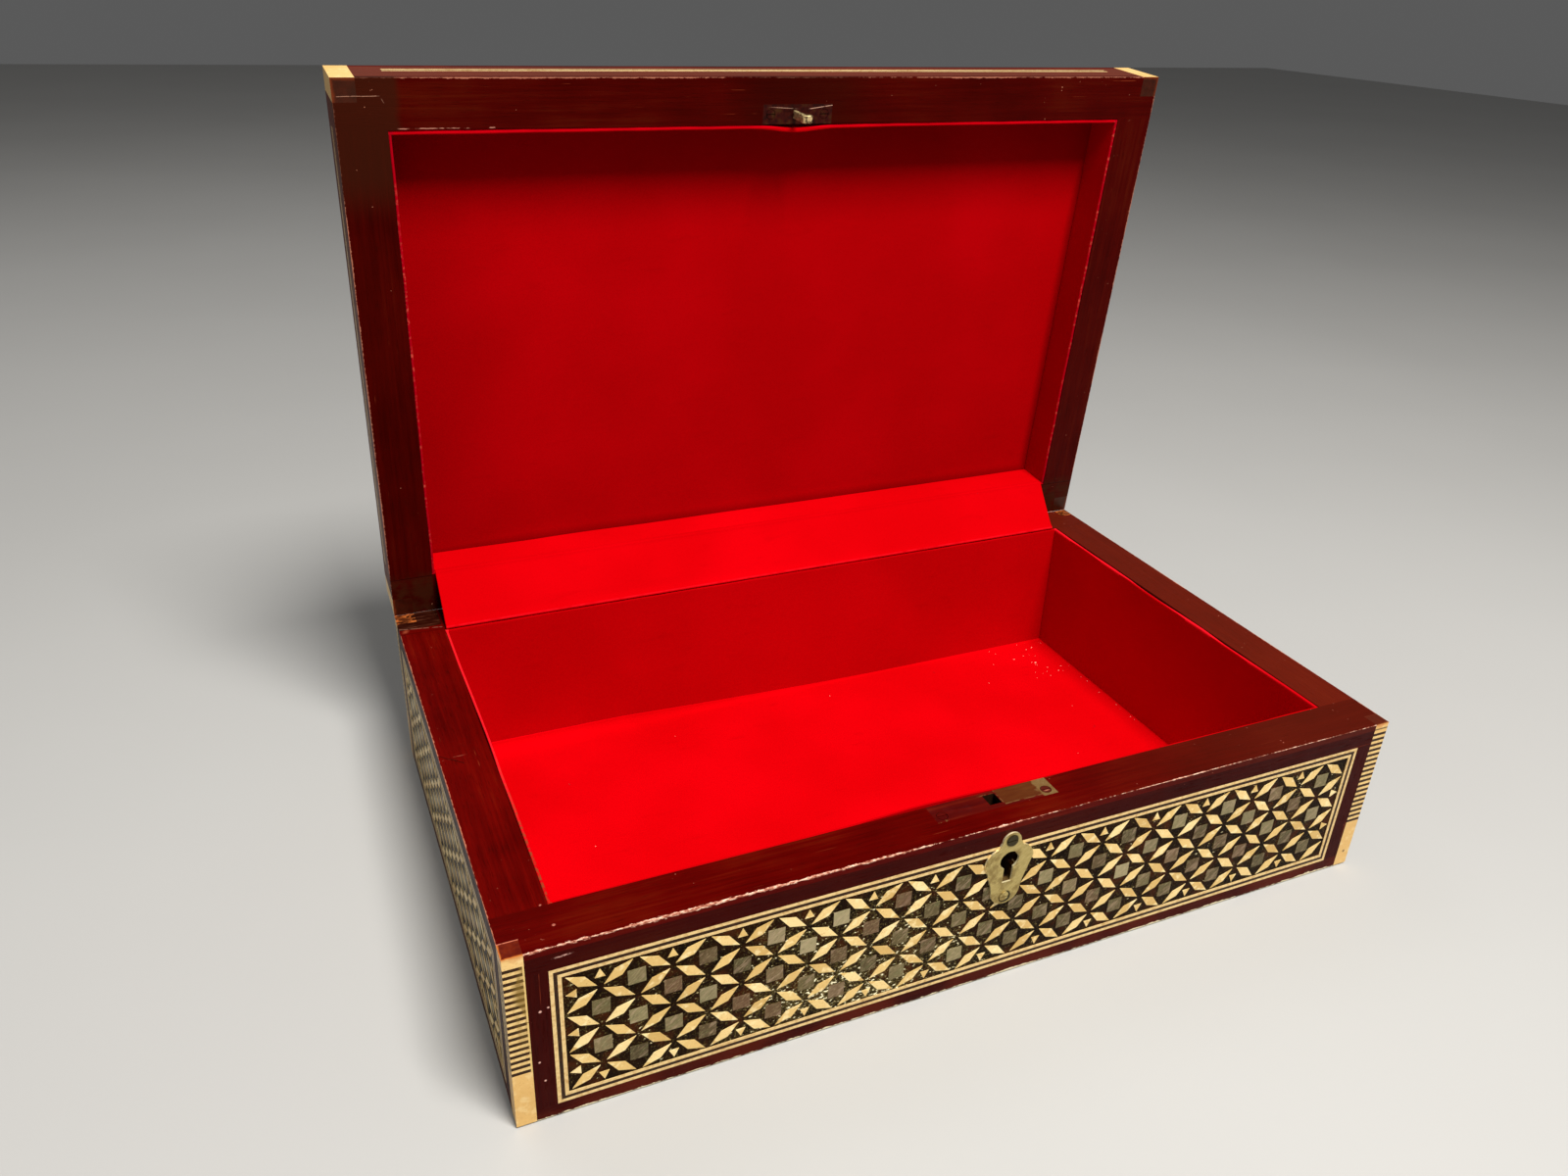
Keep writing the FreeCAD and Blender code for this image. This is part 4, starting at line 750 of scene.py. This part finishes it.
for faces, columns in ((("front", "rear"), FRONT_COLUMNS), (("side",), SIDE_COLUMNS)):
    for kind, make in (("bone", bone), ("pearl", pearl)):
        finish = make(f"{faces[0]}_{kind}", faces[0] + "_mastic", columns, FACE_ROWS)
        assign(finish, *[f"{face}_{kind}_inlay" for face in faces])
assign(bone("lid_bone", "lid_top_mastic", FRONT_COLUMNS, LID_ROWS, True), "lid_top_bone_inlay")
assign(pearl("lid_pearl", "lid_top_mastic", FRONT_COLUMNS, LID_ROWS, True), "lid_top_pearl_inlay")
assign(mastic("body_mastic"), "front_mastic", "rear_mastic", "side_mastic")
assign(mastic("lid_mastic", True), "lid_top_mastic")
assign(aged_brass("olive_brass"), "hinge_body_leaves", "hinge_body_screws")
assign(aged_brass("grimy_brass", coated=grimy_and_shaded), "lock_case", "lock_bolt")
assign(aged_brass("keyhole_plate_brass", coated=keyhole_plate), "escutcheon")
assign(aged_brass("keyhole_screw_brass", coated=plate_screws), "escutcheon_screws")
assign(aged_brass("lock_plate_brass", coated=lacquered_over), "lock_plate")
assign(aged_brass("lock_screw_brass", coated=lock_plate_screws), "lock_plate_screws")
assign(aged_brass("catch_brass", True, browned), "lid_catch_plate", "lid_catch_screws")
assign(aged_brass("lid_hinge_brass", True), "hinge_lid_leaves", "hinge_lid_screws")
assign(plain_steel(), "corner_nails", "hinge_pins", "key_post")


# The pieces of the scene's own.


def placed(name, data):
    thing = bpy.data.objects.new(name, data)
    bpy.context.scene.collection.objects.link(thing)
    return thing


def finished_piece(name, mesh, finish, opened):
    """A smooth object of a mesh, which is laid out with the lid shut and turned if it goes on the lid."""
    if opened:
        bmesh.ops.transform(mesh, matrix=OPENED, verts=mesh.verts)
    bmesh.ops.recalc_face_normals(mesh, faces=mesh.faces)
    data = bpy.data.meshes.new(name)
    mesh.to_mesh(data)
    mesh.free()
    data.polygons.foreach_set("use_smooth", [True] * len(data.polygons))
    data.materials.append(finish)
    return placed(name, data)


def settle(piece, body, slot, *nodes):
    """What a piece rides on, and which nodes it stands for. Its slot is not used."""
    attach(piece, body)
    if nodes:
        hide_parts(*nodes)


def lay(piece, body, node, flat, slot=RED_SLOT):
    """Settle a sheet of cloth on what it lies on. Its flat size, in millimetres, is not used."""
    settle(piece, body, slot, node)
    [side * MM for side in flat]


# The cloth pieces. Each is a closed shell with rounded edges, laid out in millimetres: a corner, the
# two ways along its sides and its size, and how its face bulges and its edges wander.


def steps(length, fine, coarse):
    """Places from one end to the other: close together at both ends, and even between."""
    count = max(2, round((length - 2 * fine[-1]) / coarse))
    middle = [fine[-1] + (length - 2 * fine[-1]) * index / count for index in range(1, count)]
    return fine + middle + [length - place for place in reversed(fine)]


def cloth_piece(name, finish, corner, along, up, size, thick, bulge, wander, opened=False,
                fine=(0, 0.05, 0.15, 0.3, 0.5, 1.0, 2.0), coarse=4.0, edge=0.4):
    along, up = Vector(along).normalized(), Vector(up).normalized()
    out = along.cross(up)
    wide = steps(size[0], list(fine), coarse)
    high = steps(size[1], list(fine), coarse)
    mesh = bmesh.new()
    layers = []
    for face in (True, False):
        rows = []
        for v in high:
            row = []
            for u in wide:
                inset = min(u, size[0] - u, v, size[1] - v)
                drop = edge - math.sqrt(max(edge ** 2 - max(edge - inset, 0) ** 2, 0))
                level = bulge(u, v) + (thick - drop if face else 0)
                place = Vector(corner) + along * (u + wander(u, v)[0]) + up * (v + wander(u, v)[1])
                row.append(mesh.verts.new((place + out * level) * MM))
            rows.append(row)
        layers.append(rows)
    last_row, last_column = len(high) - 1, len(wide) - 1
    for rows, way in zip(layers, (1, -1)):
        for i in range(last_row):
            for j in range(last_column):
                mesh.faces.new([rows[i][j], rows[i][j + 1], rows[i + 1][j + 1], rows[i + 1][j]][::way])
    rim = [(0, j) for j in range(last_column)] + [(i, last_column) for i in range(last_row)]
    rim += [(last_row, j) for j in range(last_column, 0, -1)] + [(i, 0) for i in range(last_row, 0, -1)]
    front, back = layers
    for (i, j), (k, m) in zip(rim, rim[1:] + rim[:1]):
        mesh.faces.new([front[k][m], front[i][j], back[i][j], back[k][m]])
    return finished_piece(name, mesh, finish, opened)


def waves(seed, pitch, height):
    """A slow, soft unevenness, as cloth over card has."""
    return lambda u, v=0: noise.noise(Vector((u / pitch, v / pitch, seed * 7.31))) * height


def hump(place, centre, reach):
    return math.exp(-((place - centre) / reach) ** 2)


def still(u, v):
    return 0, 0


THICK = 0.8
FLOOR, LINING_TOP, LID_FOOT, CEILING = 3.0, 56.8, LID_RIM + 0.2, LID_RIM + 13.6
# One red cloth in lit and shaded copies: painted light on the floor, the web and the lid's ledge, painted
# shade on the walls, the lid's linings and its ceiling.
red = napped_cloth("red_cloth", (188, 0, 4), (216, 0, 11))
shaded_wall_red = napped_cloth("wall_red_cloth", (164, 0, 3), (188, 0, 8), body_fringe_and_highlight)
shaded_lid_red = napped_cloth("lid_red_cloth", (150, 0, 3), (174, 0, 8), lid_fringe_and_highlight, True)
lit_ledge_red = napped_cloth("ledge_red_cloth", (184, 0, 4), (212, 0, 11), lid_fringe_and_highlight, True)
shaded_ceiling_red = napped_cloth("ceiling_red_cloth", (150, 0, 3), (174, 0, 8), ceiling_shade, True)
LINING_FOOT = FLOOR + THICK
TALL = LINING_TOP - LINING_FOOT


def walls(x, y, foot):
    """Where the linings of the four walls start, which way they run and how far."""
    side = 2 * (y - THICK)
    return {
        "front": ((x, -y, foot), (-1, 0, 0), 2 * x),
        "rear": ((-x, y, foot), (1, 0, 0), 2 * x),
        "right": ((x, y - THICK, foot), (0, -1, 0), side),
        "left": ((-x, -y + THICK, foot), (0, 1, 0), side),
    }


def wall_lining(name, corner, along, length, bows, seed):
    """A lining of one wall: its top edge is wavy, and bows away from the wall at some places."""
    slow, top = waves(seed, 38, 0.35), waves(seed + 3, 9, 0.16)

    def bulge(u, v):
        bow = sum(depth * hump(u, centre, reach) for centre, reach, depth in bows)
        return (bow + abs(slow(u, v))) * (v / TALL) ** 2 + 0.02

    def wander(u, v):
        return 0, (top(u) - 0.1) * (v / TALL) ** 8

    return cloth_piece(name, shaded_wall_red, corner, along, (0, 0, 1), (length, TALL), THICK, bulge, wander)


BOWS = {"front": [(142, 26, 1.3)], "rear": [], "right": [(22, 10, 0.5), (62, 16, 0.7), (104, 9, 0.4)],
        "left": [(80, 30, 0.4)]}
for seed, (side, wall) in enumerate(walls(INNER_X, INNER_Y, LINING_FOOT).items()):
    piece = wall_lining(side + "_lining", *wall, BOWS[side], seed)
    lay(piece, ROOT, "wall_linings", (wall[2], TALL))

# The floor's cloth turns up a little against the walls, most at the rear left.
FLOOR_SIZE = (2 * (INNER_X - THICK) - 0.2, 2 * (INNER_Y - THICK) - 0.2)
floor_waves = waves(11, 45, 0.25)


def cove(distance, radius):
    return radius - math.sqrt(radius ** 2 - (radius - distance) ** 2) if distance < radius else 0


def floor_bulge(u, v):
    rear = 0.7 + 3.4 * (1 - min(max((u - 60) / 110, 0), 1)) ** 1.5
    return max(cove(FLOOR_SIZE[1] - v, rear), cove(min(u, FLOOR_SIZE[0] - u), 0.7), cove(v, 1.2)) + abs(
        floor_waves(u, v)) * min(1, min(u, FLOOR_SIZE[0] - u, v, FLOOR_SIZE[1] - v) / 10)


floor_cloth = cloth_piece(
    "floor_cloth", red, (-FLOOR_SIZE[0] / 2, -FLOOR_SIZE[1] / 2, FLOOR), (1, 0, 0), (0, 1, 0), FLOOR_SIZE,
    THICK, floor_bulge, still, fine=(0, 0.08, 0.2, 0.4, 0.7, 1.1, 1.6, 2.2, 3.0), edge=0.1)
lay(floor_cloth, ROOT, "floor_lining", FLOOR_SIZE)

# The lid's linings, laid out with the lid shut.
LID_TALL = CEILING - LID_FOOT
for seed, (side, (corner, along, length)) in enumerate(walls(LID_X, LID_Y, LID_FOOT).items()):
    slow, foot = waves(seed + 20, 30, 0.3), waves(seed + 24, 8, 0.18)
    dip = 1.4 if side == "front" else 0
    piece = cloth_piece(
        f"lid_{side}_lining", lit_ledge_red if side == "rear" else shaded_lid_red, corner, along, (0, 0, 1),
        (length, LID_TALL), THICK + dip * 0.4,
        lambda u, v: abs(slow(u, v)) + 0.02 + dip * hump(u, LID_X, 9) * (1 - v / LID_TALL) ** 3,
        lambda u, v: (0, (abs(foot(u)) + 0.02) * (1 - v / LID_TALL) ** 4), opened=True)
    lay(piece, LID, "lid_wall_linings", (length, LID_TALL))
CEILING_SIZE = (2 * LID_Y, 2 * LID_X)
ceiling_waves = waves(31, 50, 0.4)


def ceiling_bulge(u, v):
    inset = min(u, CEILING_SIZE[0] - u, v, CEILING_SIZE[1] - v)
    return abs(ceiling_waves(u, v)) * min(1, inset / 12)


ceiling = cloth_piece(
    "lid_ceiling_cloth", shaded_ceiling_red, (-LID_X, -LID_Y, CEILING + THICK), (0, 1, 0), (1, 0, 0), CEILING_SIZE,
    THICK, ceiling_bulge, still, opened=True, coarse=5.0)
lay(ceiling, LID, "lid_ceiling_lining", CEILING_SIZE)

# The web across the hinges, tight when the lid is open. It has a raised fold along the body's rim, and
# its upper end lies over the foot of the lid's rear lining.
LEDGE = OPENED @ (Vector((0, LID_Y - THICK, LID_FOOT)) * MM) / MM
WEB_FOOT, WEB_TOP = Vector((0, 72.5, 56.85)), LEDGE + Vector((0, -0.3, -0.62))
# A lit copy of the linings' cloth, as painted light.
web_red = napped_cloth("web_red_cloth", (180, 0, 4), (208, 0, 10), web_foot_highlight)
WEB_LONG, WEB_OVER, WEB_WIDE = (WEB_TOP - WEB_FOOT).length, 2.0, 249.8
web_waves = waves(41, 40, 0.4)


def web_bulge(u, v):
    crease = 0.35 * hump(v, 0.8, 0.6) - 0.25 * hump(v, 3.2, 1.1) * hump(u, 60, 90)
    past = max(v - WEB_LONG, 0)
    rise, fall = 0.34 * past, 0.27 - 0.9 * (past - 0.785)
    near = max(0.3 - abs(rise - fall), 0)
    slow = web_waves(u, v) * min(1, v / 6) * min(1, max(WEB_LONG - v, 0) / 4)
    return crease + slow + min(rise, fall) - near ** 2 / 1.2


def web_wander(u, v):
    """The right end is cut slanting, further from the corner at its foot."""
    rise = min(v / WEB_LONG, 1)
    return (1.4 * rise - 2.0) * max(0, (u / WEB_WIDE - 0.9) * 10), 0


web = cloth_piece(
    "hinge_web", web_red, (-WEB_WIDE / 2, WEB_FOOT.y, WEB_FOOT.z), (1, 0, 0), WEB_TOP - WEB_FOOT,
    (WEB_WIDE, WEB_LONG + WEB_OVER), THICK, web_bulge, web_wander,
    fine=(0, 0.05, 0.15, 0.3, 0.5, 0.75, 1.0, 1.25, 1.5, 1.8, 2.2, 2.7, 3.2), coarse=1.6, edge=0.2)
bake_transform(web)
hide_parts("hinge_gusset")

# The lid's hook, seen end on when the lid is open: a bent strip of brass, painted pale as a highlight, with a
# rounded toe.
HOOK_X, HOOK_Y, HOOK_Z = (-1.65, 1.65), (-77.7, -75.3), (LID_RIM - 8.3, LID_RIM)


def hook_piece(name, finish):
    """A shape in x and z, given thickness along y, with all its edges rounded."""
    left, right = HOOK_X
    foot, top = HOOK_Z
    stem = left + 1.2
    outline = [(left, top), (left, foot + 0.9), (left + 0.3, foot + 0.3), (left + 0.9, foot),
               (right - 0.7, foot), (right - 0.2, foot + 0.2), (right, foot + 0.7), (right - 0.1, foot + 1.2),
               (right - 0.4, foot + 1.5), (stem + 0.4, foot + 1.5), (stem, foot + 1.9), (stem, top)]
    mesh = bmesh.new()
    sides = [[mesh.verts.new((x * MM, y * MM, z * MM)) for x, z in outline] for y in HOOK_Y]
    mesh.faces.new(sides[0][::-1])
    mesh.faces.new(sides[1])
    for index in range(len(outline)):
        after = (index + 1) % len(outline)
        mesh.faces.new([sides[0][index], sides[0][after], sides[1][after], sides[1][index]])
    bmesh.ops.bevel(mesh, geom=mesh.edges[:], offset=0.32 * MM, segments=3, profile=0.5, affect="EDGES",
                    clamp_overlap=True)
    return finished_piece(name, mesh, finish, True)


hook = hook_piece("catch_hook", aged_brass("hook_brass", True, hook_highlight))
settle(hook, LID, "brass", "lid_catch_hook")

# The felt under the bottom, with a hand-cut edge. It is as thick as the feet are high.
FELT_SIZE = (174.2, 279.2)
felt_edge = waves(51, 14, 0.35)


def felt_wander(u, v):
    def inward(place, length, seed):
        share = 2 * place / length - 1
        return -share ** 9 * (abs(felt_edge(seed, 3)) + 0.05)
    return inward(u, FELT_SIZE[0], v), inward(v, FELT_SIZE[1], u + 400)


felt = cloth_piece(
    "base_felt_cloth", napped_cloth("green_felt_cloth", (120, 138, 96), (164, 180, 132)),
    (-FELT_SIZE[1] / 2, -FELT_SIZE[0] / 2, FOOT), (0, 1, 0), (1, 0, 0), FELT_SIZE, FOOT, lambda u, v: 0,
    felt_wander, edge=0.25)
lay(felt, ROOT, "base_felt", FELT_SIZE, "green_felt")


# Lint and crumbs in the box: loose on the floor's cloth, and thicker along its right and rear edges.


def crumb_tree():
    """A tree that scatters small bent crumbs over a surface, with named inputs for their sizes."""
    tree = bpy.data.node_groups.new("crumbs", "GeometryNodeTree")
    for name, kind in (("Surface", "Geometry"), ("Density", "Float"), ("Smallest", "Float"),
                       ("Largest", "Float"), ("Seed", "Int"), ("Finish", "Material")):
        tree.interface.new_socket(name, in_out="INPUT", socket_type="NodeSocket" + kind)
    tree.interface.new_socket("Crumbs", in_out="OUTPUT", socket_type="NodeSocketGeometry")

    def node(kind, settings=(), **links):
        made = tree.nodes.new(kind)
        for name, value in dict(settings).items():
            setattr(made, name, value)
        for name, value in links.items():
            socket = made.inputs[name.replace("_", " ")]
            if isinstance(value, bpy.types.NodeSocket):
                tree.links.new(value, socket)
            else:
                socket.default_value = value
        return made

    given = node("NodeGroupInput").outputs
    points = node("GeometryNodeDistributePointsOnFaces", Mesh=given["Surface"], Density=given["Density"],
                  Seed=given["Seed"])
    crumb = node("GeometryNodeMeshIcoSphere", Radius=1.0, Subdivisions=1)
    size = node("FunctionNodeRandomValue", {"data_type": "FLOAT"}, Seed=given["Seed"])
    for index, name in ((2, "Smallest"), (3, "Largest")):
        tree.links.new(given[name], size.inputs[index])
    shape = node("FunctionNodeRandomValue", {"data_type": "FLOAT_VECTOR"}, Min=(0.5, 0.4, 0.3),
                 Max=(2.4, 1.0, 0.6), Seed=3)
    scale = node("ShaderNodeVectorMath", {"operation": "SCALE"})
    tree.links.new(shape.outputs[0], scale.inputs[0])
    tree.links.new(size.outputs[1], scale.inputs["Scale"])
    turn = node("FunctionNodeRandomValue", {"data_type": "FLOAT_VECTOR"}, Max=(0.5, 0.5, 6.28), Seed=5)
    copies = node("GeometryNodeInstanceOnPoints", Points=points.outputs["Points"],
                  Instance=crumb.outputs["Mesh"], Rotation=turn.outputs[0], Scale=scale.outputs[0])
    real = node("GeometryNodeRealizeInstances", Geometry=copies.outputs["Instances"])
    finished = node("GeometryNodeSetMaterial", Geometry=real.outputs["Geometry"], Material=given["Finish"])
    tree.links.new(finished.outputs["Geometry"], node("NodeGroupOutput").inputs["Crumbs"])
    return tree


def scatter(name, rectangles, height, density, smallest, largest, seed):
    """Crumbs over some flat rectangles, given by their sides in millimetres."""
    data = bpy.data.meshes.new(name)
    corners, faces = [], []
    for left, right, low, high in rectangles:
        faces.append([len(corners) + index for index in range(4)])
        around = ((left, low), (right, low), (right, high), (left, high))
        corners += [(x * MM, y * MM, height * MM) for x, y in around]
    data.from_pydata(corners, [], faces)
    piece = placed(name, data)
    modifier = piece.modifiers.new("crumbs", "NODES")
    modifier.node_group = CRUMBS
    values = {"Density": density, "Smallest": smallest * MM, "Largest": largest * MM, "Seed": seed,
              "Finish": LINT}
    for item in CRUMBS.interface.items_tree:
        if item.name in values:
            modifier[item.identifier] = values[item.name]
    view = bpy.context.evaluated_depsgraph_get()
    final = bpy.data.meshes.new_from_object(piece.evaluated_get(view))
    piece.modifiers.clear()
    piece.data = final
    settle(piece, ROOT, RED_SLOT)


CRUMBS, LINT = crumb_tree(), plain_lint()
scatter("floor_lint", [(-120, 120, -68, 68)], 3.85, 700, 0.07, 0.18, 4)
scatter("edge_crumbs", [(122.6, 124.0, -70, 70), (96, 122, 69.6, 71.0)], 4.0, 90000, 0.08, 0.22, 9)
scatter("corner_lint", [(104, 122, 44, 70)], 3.9, 40000, 0.06, 0.3, 6)

# The studio: a camera where the photographer stood, a pale floor and soft light from above. Its sizes
# are in metres, and the camera's turn is in degrees.


LENS, SENSOR = 27.80, 36.0
CAMERA_PLACE, CAMERA_TURN = (-0.1697, -0.3014, 0.2644), (62.50029, -1.99460, -23.54265)
SKY, SKY_STRENGTH, GROUND = (0.84, 0.84, 0.84, 1), 0.12, 6
camera_data = bpy.data.cameras.new("camera")
camera_data.lens = LENS
camera_data.sensor_width = SENSOR
camera = placed("camera", camera_data)
camera.location = CAMERA_PLACE
camera.rotation_euler = [math.radians(angle) for angle in CAMERA_TURN]
bpy.context.scene.camera = camera


def softbox(name, place, target, side, power, tint):
    data = bpy.data.lights.new(name, "AREA")
    data.shape = "SQUARE"
    data.size = side
    data.energy = power
    data.color = tint
    light = placed(name, data)
    light.location = place
    light.rotation_euler = (Vector(target) - light.location).to_track_quat("-Z", "Y").to_euler()


softbox("key_light", (0.08, -0.57, 1.12), (0, 0, 0.05), 0.4, 25, (1.0, 0.98, 0.95))
softbox("fill_light", (-0.9, -0.8, 0.7), (0, 0, 0.06), 0.9, 1.0, (0.97, 0.98, 1.0))
softbox("rear_light", (-0.5, 0.8, 1.2), (0, 0, 0.1), 0.8, 3, (1.0, 1.0, 1.0))
world = bpy.data.worlds.new("studio")
world.use_nodes = True
background = world.node_tree.nodes["Background"].inputs
background["Color"].default_value = SKY
background["Strength"].default_value = SKY_STRENGTH
bpy.context.scene.world = world
bpy.context.scene.view_settings.view_transform = "Standard"

floor = Finish("studio_floor")
floor.base = floor.mixed(floor.cloud(0.004, 3), (176, 175, 172), (184, 183, 180))
floor.dress(0.6)
bpy.ops.mesh.primitive_plane_add(size=GROUND)
studio_floor = bpy.context.object
studio_floor.name = "studio_floor"
studio_floor.data.materials.append(floor.material)
